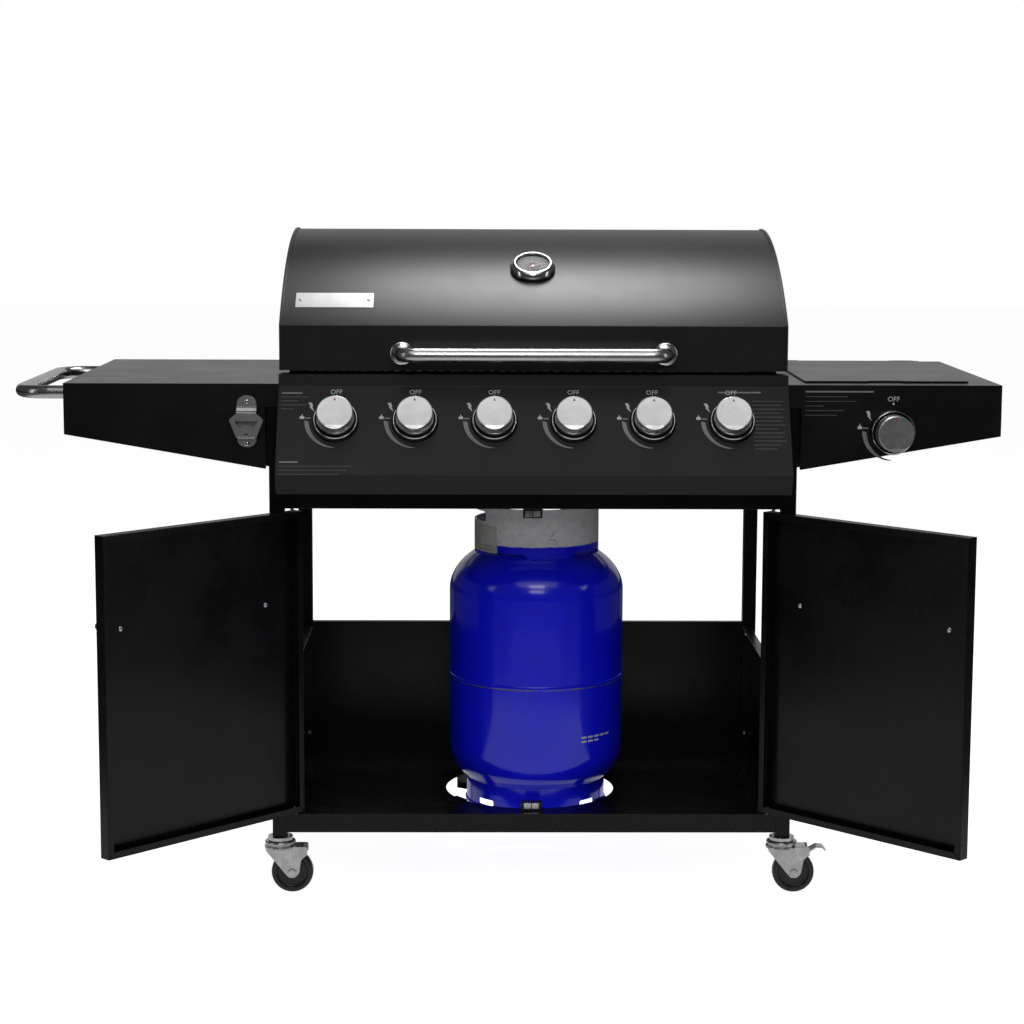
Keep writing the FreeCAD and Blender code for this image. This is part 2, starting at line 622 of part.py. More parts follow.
# ---------------------------------------------------------------------------
# Side shelves
# ---------------------------------------------------------------------------
def shelf():
    """Right-hand shelf blank: folded top, tapering front fascia, end, back and inner flange."""
    top_z, t = SHELF_TOP, SHEET
    top = box(SHELF_INNER, SHELF_END, 0, SHELF_DEPTH, top_z - t, top_z)
    fascia = extrude_xz([(SHELF_INNER, top_z), (SHELF_END, top_z), (SHELF_END, top_z - FASCIA_OUTER_DROP),
                         (FASCIA_INNER, top_z - FASCIA_INNER_DROP), (FASCIA_INNER, top_z - STRIP_DROP),
                         (SHELF_INNER, top_z - STRIP_DROP)], 0, t)
    end = box(SHELF_END - t, SHELF_END, 0, SHELF_DEPTH, top_z - FASCIA_OUTER_DROP, top_z)
    back = box(SHELF_INNER, SHELF_END, SHELF_DEPTH - t, SHELF_DEPTH, top_z - STRIP_DROP, top_z)
    lip = box(SHELF_END - 12, SHELF_END, 0, SHELF_DEPTH, top_z - FASCIA_OUTER_DROP,
              top_z - FASCIA_OUTER_DROP + t)
    inner = box(FRONT_LEG_X + 2, FRONT_LEG_X + 2 + t, 30, 430, top_z - STRIP_DROP, top_z)
    hem = box(FASCIA_INNER, FASCIA_INNER + t, 0, 14, top_z - FASCIA_INNER_DROP, top_z - STRIP_DROP)
    return fuse([top, fascia, end, back, lip, inner, hem])


def left_shelf():
    """Plain shelf with two holes for the towel bar's ends."""
    blank = mirrored(shelf())
    holes = [rod(V(-SHELF_END - 2, y, TOWEL_Z), X_AXIS, TOWEL_R, 6)
             for y in (TOWEL_FRONT_Y, TOWEL_REAR_Y)]
    return [cut(blank, holes)]


def lid_knuckle_spans():
    """X range of each knuckle of the side-burner lid."""
    return [(WELL_X0 + 7, WELL_X0 + 41), (WELL_X1 - 41, WELL_X1 - 7)]


def right_shelf():
    """Shelf with the side-burner opening, slots and ears for the lid's hinge, and the tap hole."""
    ears, gaps = [], [box(WELL_X0, WELL_X1, WELL_Y0, WELL_Y1, SHELF_TOP - 10, SHELF_TOP + 5)]
    for x0, x1 in lid_knuckle_spans():
        for x in (x0 - 5, x1 + 1):
            ears.append(box(x, x + 4, LID_PIN_Y - 4, LID_PIN_Y + 4, LID_PIN_Z - 5, LID_PIN_Z + 3))
        gaps.append(box(x0 - 0.6, x1 + 0.6, LID_PIN_Y - LID_BARREL_R - 0.8, LID_PIN_Y + LID_BARREL_R + 0.8,
                        SHELF_TOP - 5, SHELF_TOP + 5))
        gaps.append(rod(V(x0 - 6, LID_PIN_Y, LID_PIN_Z), X_AXIS, LID_PIN_R, x1 - x0 + 12))
    gaps.append(rod(V(SIDE_KNOB_X, -5, SIDE_KNOB_Z), Y_AXIS, 5.5, 12))
    return [cut(fuse([shelf()] + ears), gaps)]


def towel_bar():
    """U-shaped bar on the left end, bent in the horizontal plane."""
    front = V(-SHELF_END + 1, TOWEL_FRONT_Y, TOWEL_Z)
    rear = V(-SHELF_END + 1, TOWEL_REAR_Y, TOWEL_Z)
    return [bent_bar(front, rear, V(-TOWEL_X - front.x, 0, 0), TOWEL_R, TOWEL_BEND)]


def bottle_opener():
    """Pressed opener on the left fascia: two screw tabs and a bowed lip over a slot."""
    x = -469.0
    plate = extrude_xz([(x - 15, 838), (x + 15, 838), (x + 15, 822), (x + 22, 806), (x + 15, 772),
                        (x + 9, 757), (x, 753), (x - 9, 757), (x - 15, 772), (x - 22, 806),
                        (x - 15, 822)], -2.0, -0.2)
    bow = extrude_yz([(-2, 826), (-16, 812), (-16, 800), (-13.5, 800), (-13.5, 811), (-2, 822.4)],
                     x - 17, x + 17)
    tongue = extrude_yz([(-2, 788), (-14, 780), (-14, 776), (-2, 770)], x - 9, x + 9)
    slot = extrude_xz([(x - 13, 801), (x + 13, 801), (x + 9, 789), (x - 9, 789)], -3, 0)
    screws = [revolve([(0, 0), (4, 0), (3.4, 1.6), (0, 2.2)], V(x, -2, z), V(0, -1, 0))
              for z in (831, 762)]
    body = fuse([plate, bow, tongue]).cut(slot)
    return [body] + screws


def side_lid():
    """Flat lid with a hemmed edge, a finger notch at the front and two rear knuckles."""
    x0, x1, y0, y1 = WELL_X0 - 5, WELL_X1 + 5, WELL_Y0 - 5, WELL_Y1 + 1
    z0 = SHELF_TOP + 0.4
    plate = box(x0, x1, y0, y1, z0, z0 + 3)
    stiff = box(x0 + 9, x1 - 9, y0 + 9, y1 - 6, z0 - 9, z0)
    stiff = stiff.cut(box(x0 + 10, x1 - 10, y0 + 10, y1 - 7, z0 - 10, z0 - 1))
    notch = extrude_xy([(SIDE_X - 32, y0 - 1), (SIDE_X + 32, y0 - 1), (SIDE_X + 24, y0 + 7),
                        (SIDE_X - 24, y0 + 7)], z0 - 1, z0 + 4)
    knuckles, bores = [], []
    for left, right in lid_knuckle_spans():
        knuckles.append(rod(V(left, LID_PIN_Y, LID_PIN_Z), X_AXIS, LID_BARREL_R, right - left))
        knuckles.append(box(left, right, y1 - 10, LID_PIN_Y, z0 + 0.6, z0 + 3))
        bores.append(rod(V(left - 5, LID_PIN_Y, LID_PIN_Z), X_AXIS, LID_PIN_R + FIT, right - left + 10))
    return [cut(fuse([plate, stiff] + knuckles), [notch] + bores)]


def side_burner():
    """Drip bowl hung in the shelf, the round burner head and its mixing tube."""
    x0, x1, y0, y1 = WELL_X0 + 1, WELL_X1 - 1, WELL_Y0 + 1, WELL_Y1 - 1
    low = 796.0
    bowl = box(x0, x1, y0, y1, low, SHELF_TOP - SHEET)
    bowl = bowl.cut(box(x0 + 1, x1 - 1, y0 + 1, y1 - 1, low + 1, SHELF_TOP))
    rim = box(x0 - 9, x1 + 9, y0 - 9, y1 + 5, SHELF_TOP - SHEET - 1, SHELF_TOP - SHEET)
    rim = rim.cut(box(x0, x1, y0, y1, SHELF_TOP - 5, SHELF_TOP))
    bowl = fuse([bowl, rim]).cut(rod(V(SIDE_X, 280, low - 2), Z_AXIS, 22, 6))
    head = revolve([(0, 0), (20, 0), (20, 20), (46, 24), (48, 32), (40, 38), (12, 40), (0, 40)],
                   V(SIDE_X, 280, low - 10), Z_AXIS)
    mouth, end = V(SIDE_KNOB_X, 62, SIDE_KNOB_Z - 1), V(SIDE_X, 272, low - 25)
    tube = ring(mouth, end - mouth, 12, 10.5, (end - mouth).Length)
    neck = rod(V(SIDE_X, 280, low - 42), Z_AXIS, 16, 32)
    mixer = fuse([neck, tube])
    return [bowl, head, mixer]


def side_grate():
    """Wire pan support over the side burner."""
    r, z = 3.0, 847.0
    x, y, reach = SIDE_X, 280.0, 112.0
    hoop = Part.makeTorus(62, r, V(x, y, z), Z_AXIS)
    bars = [hoop]
    for angle in (45, 135, 225, 315):
        way = V(math.cos(math.radians(angle)), math.sin(math.radians(angle)), 0)
        bars.append(link(V(x, y, z) + way * 26, V(x, y, z) + way * reach * math.sqrt(2), r))
    frame = [V(x - reach, y - reach, z), V(x + reach, y - reach, z),
             V(x + reach, y + reach, z), V(x - reach, y + reach, z)]
    for a, b in zip(frame, frame[1:] + frame[:1]):
        bars.append(link(a, b, r))
        bars.append(Part.makeSphere(r, a))
        bars.append(link(a, V(a.x, a.y, 797), r))
    return [fuse(bars)]


# ---------------------------------------------------------------------------
# Hood
# ---------------------------------------------------------------------------
def hood_face(inset, x):
    """Side profile of the hood, moved in by inset, as a face at x."""
    r1, r2 = HOOD_R - inset, REAR_R - inset
    cy, cz = CREST_Y, CREST_Z - HOOD_R
    rz = CREST_Z - REAR_R
    front = inset
    start = math.asin((cy - front) / r1)
    half = start / 2
    a = V(x, front, HOOD_LOW)
    b = V(x, front, cz + r1 * math.cos(start))
    mid = V(x, cy - r1 * math.sin(half), cz + r1 * math.cos(half))
    crest = V(x, cy, CREST_Z - inset)
    s = math.sqrt(0.5)
    rear_mid = V(x, CREST_Y + r2 * s, rz + r2 * s)
    back_top = V(x, CREST_Y + r2, rz)
    foot = V(x, CREST_Y + r2, HOOD_LOW)
    edges = [Part.makeLine(a, b), Part.Arc(b, mid, crest).toShape(),
             Part.Arc(crest, rear_mid, back_top).toShape(), Part.makeLine(back_top, foot),
             Part.makeLine(foot, a)]
    return Part.Face(Part.Wire(edges))


def hood_shell():
    """Rolled sheet hood, open below, with the crease where the roof meets the front band."""
    half = HOOD_HALF - 2
    outer = hood_face(0, -half)
    inner = hood_face(SHEET, -half)
    shell = outer.extrude(V(2 * half, 0, 0)).cut(inner.extrude(V(2 * half, 0, 0)))
    vent = box(-half - 1, half + 1, HOOD_BACK - 5, HOOD_BACK + 5, HOOD_LOW - 5, HOOD_BACK_LOW)
    floor = box(-half - 1, half + 1, -5, HOOD_BACK + 5, HOOD_LOW - 5, HOOD_LOW)
    lip = box(-half, half, SHEET, 14, HOOD_LOW, HOOD_LOW + SHEET)
    point, lean = gauge_seat()
    hole = rod(point - lean * 10, lean, 5, 20)
    shell = cut(shell, [vent, floor, hole])
    return [fuse([shell, lip])]


def hood_ends():
    """Flat end plates with a rolled rim, one at each side of the hood."""
    half = HOOD_HALF
    outer = hood_face(-1.0, half - 2)
    plate = outer.extrude(V(2, 0, 0))
    plate = plate.cut(box(half - 5, half + 5, HOOD_BACK - 42, HOOD_BACK + 9, HOOD_LOW - 5, HOOD_LOW + 3))
    rim_outer = hood_face(-2.2, half - 5)
    rim_inner = hood_face(0.0, half - 5)
    rim = rim_outer.extrude(V(5, 0, 0)).cut(rim_inner.extrude(V(5, 0, 0)))
    rim = rim.cut(box(half - 9, half + 9, -20, HOOD_BACK + 20, HOOD_LOW - 9, HOOD_LOW))
    pin_hole = rod(V(half - 9, HOOD_PIN_Y, HOOD_PIN_Z), X_AXIS, HOOD_PIN_R + FIT, 18)
    plate = fuse([plate, rim]).cut(pin_hole)
    return both(plate)


def hood_handle():
    """Round bar across the front band, bent back at both ends into round roses."""
    left, right = V(-GRIP_X, 0, GRIP_Z), V(GRIP_X, 0, GRIP_Z)
    bar = bent_bar(left, right, V(0, GRIP_Y, 0), GRIP_R, GRIP_BEND)
    rose = revolve([(0, 0), (20, 0), (20, 2.2), (18, 4.4), (0, 4.4)], right, V(0, -1, 0))
    return [fuse([bar] + both(rose))]


def gauge_seat():
    """Seat of the thermometer on the roof and the direction it faces."""
    z = CREST_Z - HOOD_R + math.sqrt(HOOD_R ** 2 - (CREST_Y - GAUGE_Y) ** 2)
    lean = math.radians(GAUGE_LEAN)
    return V(0, GAUGE_Y, z), V(0, -math.cos(lean), math.sin(lean))


def on_gauge(profile):
    """Turned part on the thermometer's axis."""
    point, lean = gauge_seat()
    return revolve(profile, point, lean)


def thermometer_case():
    """Flared case with a stepped rim and a probe stem that goes through the hood."""
    case = on_gauge([(0, 4), (24, 4), (27.5, 4), (27.5, 14.5), (29.5, 16), (33, 15), (GAUGE_R - 0.6, 9),
                     (GAUGE_R, 4), (34, 3), (8, 2.6), (4.0, 2.6), (4.0, -58), (0, -58)])
    roof = hood_face(0, -100)
    return [case.cut(roof.extrude(V(200, 0, 0)).cut(rod(gauge_seat()[0] - gauge_seat()[1] * 60,
                                                         gauge_seat()[1], 4.5, 80)))]


def thermometer_dial():
    """Printed disc inside the case."""
    return [on_gauge([(3.4, 4.2), (27.2, 4.2), (27.2, 6), (3.4, 6)])]


def thermometer_needle():
    """Pointer on its own hub, pointing up the dial's zero mark."""
    point, lean = gauge_seat()
    hub = on_gauge([(0, 4.2), (3, 4.2), (3, 9), (0, 9)])
    side = lean.cross(X_AXIS)
    blade = Part.makeBox(2.2, 30, 0.8, V(-1.1, -8, 7.2))
    rotation = FreeCAD.Rotation(X_AXIS, side * -1, lean, "ZXY")
    blade.Placement = FreeCAD.Placement(point, rotation)
    return [turned(fuse([hub, blade]), point, lean, 125)]


def thermometer_lens():
    """Flat glass over the dial."""
    return [on_gauge([(0, 11.2), (27.3, 11.2), (27.3, 12.8), (0, 12.8)])]


def badge():
    """Small blank plate that follows the roof just above the crease, held by two rivets."""
    x0, x1 = -391.0, -263.0
    outer = hood_face(-1.4, x0)
    inner = hood_face(0, x0)
    skin = outer.extrude(V(x1 - x0, 0, 0)).cut(inner.extrude(V(x1 - x0, 0, 0)))
    middle_y, middle_z = 47.0, 992.0
    half = 19.0
    slab = Part.makeBox(x1 - x0, 2 * half, 60)
    slab.translate(V(x0, -half, -30))
    slope = math.degrees(math.asin((CREST_Y - middle_y) / HOOD_R))
    slab.rotate(V(0, 0, 0), X_AXIS, slope)
    slab.translate(V(0, middle_y, middle_z))
    plate = skin.common(slab)
    out = V(0, -math.sin(math.radians(slope)), math.cos(math.radians(slope)))
    centre_z = CREST_Z - HOOD_R + math.sqrt(HOOD_R ** 2 - (CREST_Y - middle_y) ** 2)
    rivets = [revolve([(0, 1.0), (2.6, 1.0), (2.0, 2.4), (0, 2.9)], V(x, middle_y, centre_z), out)
              for x in (x0 + 8, x1 - 8)]
    return [fuse([plate] + rivets)]


# ---------------------------------------------------------------------------
# Doors
# ---------------------------------------------------------------------------
def door_blank():
    """Left door, closed: a pan with folded sides and return lips, and two pin holes."""
    x0, x1, z0, z1, d, t = -DOOR_OUTER, -DOOR_INNER, DOOR_BOTTOM, DOOR_TOP, DOOR_DEPTH, SHEET
    lip = DOOR_LIP
    pan = box(x0, x1, 0, d, z0, z1).cut(box(x0 + t, x1 - t, t, d - t, z0 + t, z1 - t))
    window = box(x0 + lip, x1 - lip, d - t - 1, d + 1, z0 + lip, z1 - lip)
    pin = rod(V(-DOOR_PIN_X, DOOR_PIN_Y, z0 - 5), Z_AXIS, DOOR_PIN_R + FIT, z1 - z0 + 10)
    return cut(pan, [window, pin])


def door_handle_blank():
    """Left door's bar handle, closed, with its posts and the screws inside the door."""
    x0 = -DOOR_PIN_X
    y = -38.0
    bar = rod(V(x0 + HANDLE_POSTS[0] - 16, y, HANDLE_Z), X_AXIS, 6, HANDLE_POSTS[1] - HANDLE_POSTS[0] + 32)
    posts = [rod(V(x0 + s, 0, HANDLE_Z), V(0, -1, 0), 4.5, 38) for s in HANDLE_POSTS]
    screws = [revolve([(0, 0), (4.6, 0), (4.2, 1.6), (0, 2.6)], V(x0 + s, SHEET, HANDLE_Z), Y_AXIS)
              for s in HANDLE_POSTS]
    return [fuse([bar] + posts)] + screws


def swung(shape):
    """A closed left door part, swung open to its stop."""
    return turned(shape, V(-DOOR_PIN_X, DOOR_PIN_Y, 0), Z_AXIS, -DOOR_OPEN)


def door_left():
    """Left door, standing open."""
    return [swung(door_blank())]


def door_right():
    """Right door, standing open."""
    return [mirrored(swung(door_blank()))]


def door_handle_left():
    """Left door handle and its screws."""
    return [swung(shape) for shape in door_handle_blank()]


def door_handle_right():
    """Right door handle and its screws."""
    return [mirrored(swung(shape)) for shape in door_handle_blank()]


# ---------------------------------------------------------------------------
# Grease tray
# ---------------------------------------------------------------------------
def grease_tray():
    """Shallow tray whose side flanges ride on the runners; it pulls out over the rear cross tube."""
    y0, y1, low = BOX_FRONT + 10, BOX_REAR - 6, BEAM_TOP + 2
    pan = box(-90, 90, y0, y1, low, TRAY_TOP).cut(box(-89, 89, y0 + 1, y1 - 1, low + 1, TRAY_TOP + 1))
    flange = box(90, 102, y0, y1, TRAY_TOP - 1, TRAY_TOP)
    pull = box(-60, 60, y1, y1 + 16, TRAY_TOP - 3, TRAY_TOP)
    return [fuse([pan, pull] + both(flange))]


# ---------------------------------------------------------------------------
# Casters
# ---------------------------------------------------------------------------
def caster_fork(x, y):
    """Pressed swivel fork with two cheeks, its thrust race and the axle through them."""
    race = revolve([(SWIVEL_R + FIT, 76), (26, 76), (27, 79), (26, RACE_TOP - 1), (24, RACE_TOP),
                    (SWIVEL_R + FIT, RACE_TOP)], V(x, y, 0), Z_AXIS)
    bridge = box(x - 18, x + PEDAL_X - 6, y - FORK_GAP - 2, y + FORK_GAP + 2, 77, 80)
    cheek = extrude_xz([(x - 24, 80), (x + PEDAL_X, 80), (x + PEDAL_X, 66), (x + 36, 60),
                        (x + 33, 44), (x + CASTER_TRAIL + 10, 34), (x + CASTER_TRAIL, 26),
                        (x + CASTER_TRAIL - 9, 31)], y + FORK_GAP, y + FORK_GAP + 2)
    other = cheek.copy()
    other.translate(V(0, -2 * FORK_GAP - 2, 0))
    well = rod(V(x, y, 60), Z_AXIS, 10.5, 18)
    body = fuse([race, bridge, cheek, other])
    bolt = rod(V(x + CASTER_TRAIL, y - FORK_GAP - 5, WHEEL_R), Y_AXIS, AXLE_R, 2 * FORK_GAP + 10)
    heads = [rod(V(x + CASTER_TRAIL, y + side * (FORK_GAP + 3.5) - 1.5, WHEEL_R), Y_AXIS, 7, 3)
             for side in (-1, 1)]
    pivot = rod(V(x + PEDAL_X - 5, y - FORK_GAP - 2, PEDAL_Z), Y_AXIS, 2.5, 2 * FORK_GAP + 4)
    stem = rod(V(x, y, 60), Z_AXIS, SWIVEL_R + FIT, 40)
    body = cut(fuse([body, pivot]), [well, stem, bolt])
    return [body, fuse([bolt] + heads)]


def caster_wheel(x, y):
    """Solid wheel with a rounded tread and a recessed web."""
    half = WHEEL_WIDE / 2
    profile = [(AXLE_R + FIT, -half), (10, -half), (11, -half + 4), (24, -half + 4), (26, -half),
               (31, -half), (WHEEL_R - 0.8, -half + 4.5), (WHEEL_R, 0), (WHEEL_R - 0.8, half - 4.5),
               (31, half), (26, half), (24, half - 4), (11, half - 4), (10, half), (AXLE_R + FIT, half)]
    return [revolve(profile, V(x + CASTER_TRAIL, y, WHEEL_R), Y_AXIS)]


def brake_pedal(x, y):
    """Foot lever on its cross pivot behind the wheel."""
    px = x + PEDAL_X - 5
    hub = ring(V(px, y - 10, PEDAL_Z), Y_AXIS, 5, 2.5 + FIT, 20)
    arm = extrude_xz([(px + 4, PEDAL_Z + 2), (px + 10, PEDAL_Z + 5), (px + 17, PEDAL_Z + 9),
                      (px + 28, PEDAL_Z + 8), (px + 33, PEDAL_Z + 2), (px + 31, PEDAL_Z + 1),
                      (px + 27, PEDAL_Z + 5.5), (px + 17, PEDAL_Z + 6.5), (px + 10, PEDAL_Z + 2),
                      (px + 4, PEDAL_Z - 2)], y - 11, y + 11)
    shoe = extrude_xz([(px - 3, PEDAL_Z - 3.5), (px + 3, PEDAL_Z - 3.5), (px + 7, PEDAL_Z - 8),
                       (px + 5, PEDAL_Z - 8.5)], y - 8, y + 8)
    return [fuse([hub, arm, shoe])]


# ---------------------------------------------------------------------------
# Gas bottle
# ---------------------------------------------------------------------------
def dome(radius, rise, level, way, steps=10):
    """(radius, height) points down a flattened quarter round, from the wall to the axis."""
    points = []
    for index in range(steps + 1):
        turn = math.pi / 2 * index / steps
        points.append((radius * math.cos(turn), level + way * rise * math.sin(turn)))
    return points


def gas_bottle():
    """Thin-walled steel bottle with its weld seam, foot ring and valve guard."""
    wall = 3.0
    upper = dome(BOTTLE_R, DOME_HIGH, BODY_HIGH, 1)
    lower = dome(BOTTLE_R, DOME_LOW, BODY_LOW, -1)
    upper_in = dome(BOTTLE_R - wall, DOME_HIGH - wall, BODY_HIGH, 1)
    lower_in = dome(BOTTLE_R - wall, DOME_LOW - wall, BODY_LOW, -1)
    base = V(BOTTLE_X, BOTTLE_Y, 0)
    outer = revolve(lower[::-1] + upper[:-1] + [(0, upper[-1][1])], base, Z_AXIS)
    inner = revolve(lower_in[::-1] + upper_in[:-1] + [(0, upper_in[-1][1])], base, Z_AXIS)
    seam = ring(base + V(0, 0, 339), Z_AXIS, BOTTLE_R + 0.8, BOTTLE_R - 1, 5)
    body = fuse([outer, seam]).cut(inner)
    foot = ring(base + V(0, 0, BOTTLE_SEAT + 0.2), Z_AXIS, FOOT_R, FOOT_R - 3, 58)
    foot_hem = ring(base + V(0, 0, BOTTLE_SEAT + 0.2), Z_AXIS, FOOT_R + 2, FOOT_R - 3, 5)
    guard = ring(base + V(0, 0, BODY_HIGH + 48), Z_AXIS, COLLAR_R, COLLAR_R - 3,
                 COLLAR_TOP - BODY_HIGH - 48)
    windows = []
    for angle in (20, 110, 200, 290):
        low_window = box(FOOT_R - 20, FOOT_R + 20, -26, 26, BOTTLE_SEAT + 14, BOTTLE_SEAT + 30)
        windows.append(turned(low_window, V(0, 0, 0), Z_AXIS, angle))
    for angle in (240, 300):
        slot = box(COLLAR_R - 20, COLLAR_R + 20, -32, 32, 592, 612)
        windows.append(turned(slot, V(0, 0, 0), Z_AXIS, angle))
    gate = box(COLLAR_R - 20, COLLAR_R + 20, -45, 45, 600, COLLAR_TOP + 5)
    windows.append(turned(gate, V(0, 0, 0), Z_AXIS, 90))
    for window in windows:
        window.translate(base)
    skirts = cut(fuse([foot, foot_hem]), windows), cut(guard, windows)
    keep = outer.copy()
    skirts = [skirt.cut(keep) for skirt in skirts]
    boss = rod(base + V(0, 0, BODY_HIGH + DOME_HIGH - 6), Z_AXIS, 22, 9)
    return [fuse([body, boss] + skirts)]


def bottle_valve():
    """Brass valve body with its outlet and cap on top of the bottle."""
    base = V(BOTTLE_X, BOTTLE_Y, BODY_HIGH + DOME_HIGH + 3)
    body = revolve([(0, 0), (15, 0), (15, 8), (11, 12), (11, 24), (16, 26), (16, 34), (12, 38), (0, 38)],
                   base, Z_AXIS)
    outlet = rod(base + V(0, 8, 18), Y_AXIS, 8, 24)
    return [fuse([body, outlet])]


# ---------------------------------------------------------------------------
# Assembly
# ---------------------------------------------------------------------------
def nodes():
    """Every node by name, as a list of solids in the design frame."""
    pieces = {
        "legs": legs, "front_beam": front_beam, "top_rails": top_rails, "tray_rails": tray_rails,
        "bottom_shelf": bottom_shelf, "bottle_rests": bottle_rests, "back_panel": back_panel,
        "side_panels": side_panels, "frame_screws": frame_screws, "door_catches": door_catches,
        "caster_sockets": caster_sockets, "hinge_pins": hinge_pins, "firebox": firebox,
        "burner_tubes": burner_tubes, "flame_tamers": flame_tamers, "cooking_grates": cooking_grates,
        "warming_rack": warming_rack, "gas_manifold": gas_manifold, "burner_valves": burner_valves,
        "igniter_electrodes": igniter_electrodes, "control_panel": control_panel,
        "knob_bezels": knob_bezels, "left_shelf": left_shelf, "towel_bar": towel_bar,
        "bottle_opener": bottle_opener, "right_shelf": right_shelf, "side_lid": side_lid,
        "side_burner": side_burner, "side_grate": side_grate, "hood_shell": hood_shell,
        "hood_ends": hood_ends, "hood_handle": hood_handle, "thermometer_case": thermometer_case,
        "thermometer_dial": thermometer_dial, "thermometer_needle": thermometer_needle,
        "thermometer_lens": thermometer_lens, "badge": badge, "door_left": door_left,
        "door_right": door_right, "door_handle_left": door_handle_left,
        "door_handle_right": door_handle_right, "grease_tray": grease_tray,
        "gas_bottle": gas_bottle, "bottle_valve": bottle_valve,
    }
    built = {name: make() for name, make in pieces.items()}
    names = ["knob_%d" % (i + 1) for i in range(KNOB_COUNT)] + ["side_knob"]
    for name, (seat, out) in zip(names, knob_seats()):
        built[name] = knob(seat, out)
    for place, (x, y) in leg_centres().items():
        built["caster_fork_" + place] = caster_fork(x, y)
        built["caster_wheel_" + place] = caster_wheel(x, y)
        if place == "front_right":
            built["brake_pedal_" + place] = brake_pedal(x, y)
    return built


def row_origin(built):
    """Point under the middle of the whole grill, which every piece is moved from."""
    whole = FreeCAD.BoundBox()
    for solids in built.values():
        for solid in solids:
            whole.add(solid.BoundBox)
    return V(whole.Center.x, whole.Center.y, whole.ZMin)


def export_all():
    """Write one STEP file per node."""
    os.makedirs("parts", exist_ok=True)
    built = nodes()
    origin = row_origin(built)
    print("origin", [round(value, 4) for value in origin])
    for name, solids in built.items():
        shape = Part.makeCompound(solids) if len(solids) > 1 else solids[0]
        shape = shape.copy()
        shape.translate(origin * -1)
        shape.exportStep("parts/%s.step" % name)
        count = sum(len(solid.Solids) for solid in solids)
        valid = all(solid.isValid() for solid in solids)
        print("%-26s solids %3d valid %s volume %.1f cm3" % (name, count, valid, shape.Volume / 1000))


if __name__ == "__main__":
    export_all()
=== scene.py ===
"""Looks of a six-burner gas barbecue on an open cabinet cart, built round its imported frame."""

import logging
import math
from dataclasses import dataclass, field, replace
from enum import Enum
from typing import Iterable, NamedTuple, Sequence

import bmesh
import bpy
from mathutils import Matrix, Vector


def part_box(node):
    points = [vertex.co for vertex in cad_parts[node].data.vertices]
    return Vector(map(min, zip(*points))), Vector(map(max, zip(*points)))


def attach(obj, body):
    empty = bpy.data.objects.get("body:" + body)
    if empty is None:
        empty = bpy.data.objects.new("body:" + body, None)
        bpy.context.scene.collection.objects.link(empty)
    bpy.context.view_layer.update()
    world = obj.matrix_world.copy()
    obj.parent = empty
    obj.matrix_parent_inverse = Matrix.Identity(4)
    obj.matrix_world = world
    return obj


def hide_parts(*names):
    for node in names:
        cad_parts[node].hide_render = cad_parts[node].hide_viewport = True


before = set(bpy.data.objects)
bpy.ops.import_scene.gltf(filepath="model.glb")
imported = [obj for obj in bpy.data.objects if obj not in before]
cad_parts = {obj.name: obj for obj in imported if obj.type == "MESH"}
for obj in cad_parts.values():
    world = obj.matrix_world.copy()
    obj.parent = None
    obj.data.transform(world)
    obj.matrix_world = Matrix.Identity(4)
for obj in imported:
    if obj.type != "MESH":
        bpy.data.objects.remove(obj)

LOG = logging.getLogger("barbecue")
MM = 0.001
UP = Vector((0.0, 0.0, 1.0))
FRONT = Vector((0.0, -1.0, 0.0))
BRUSH_SCALE = 1300.0
CREASE = 40.0
Point = Sequence[float]


class Datum:
    """The maker's own zero: midway between the legs, at the shelves' front edge, on the ground."""

    def __init__(self) -> None:
        """Find the zero from the legs and the left shelf."""
        low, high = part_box("legs")
        shelf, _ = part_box("left_shelf")
        self.zero = Vector(((low.x + high.x) / 2, shelf.y, 0.0))
        self.to_row = Matrix.Translation(self.zero) @ Matrix.Scale(MM, 4)
        self.from_row = self.to_row.inverted()

    def place(self, point: Point) -> Vector:
        """Give a point in metres in the row frame from one in the maker's millimetres."""
        return self.to_row @ Vector(point)


DATUM = Datum()


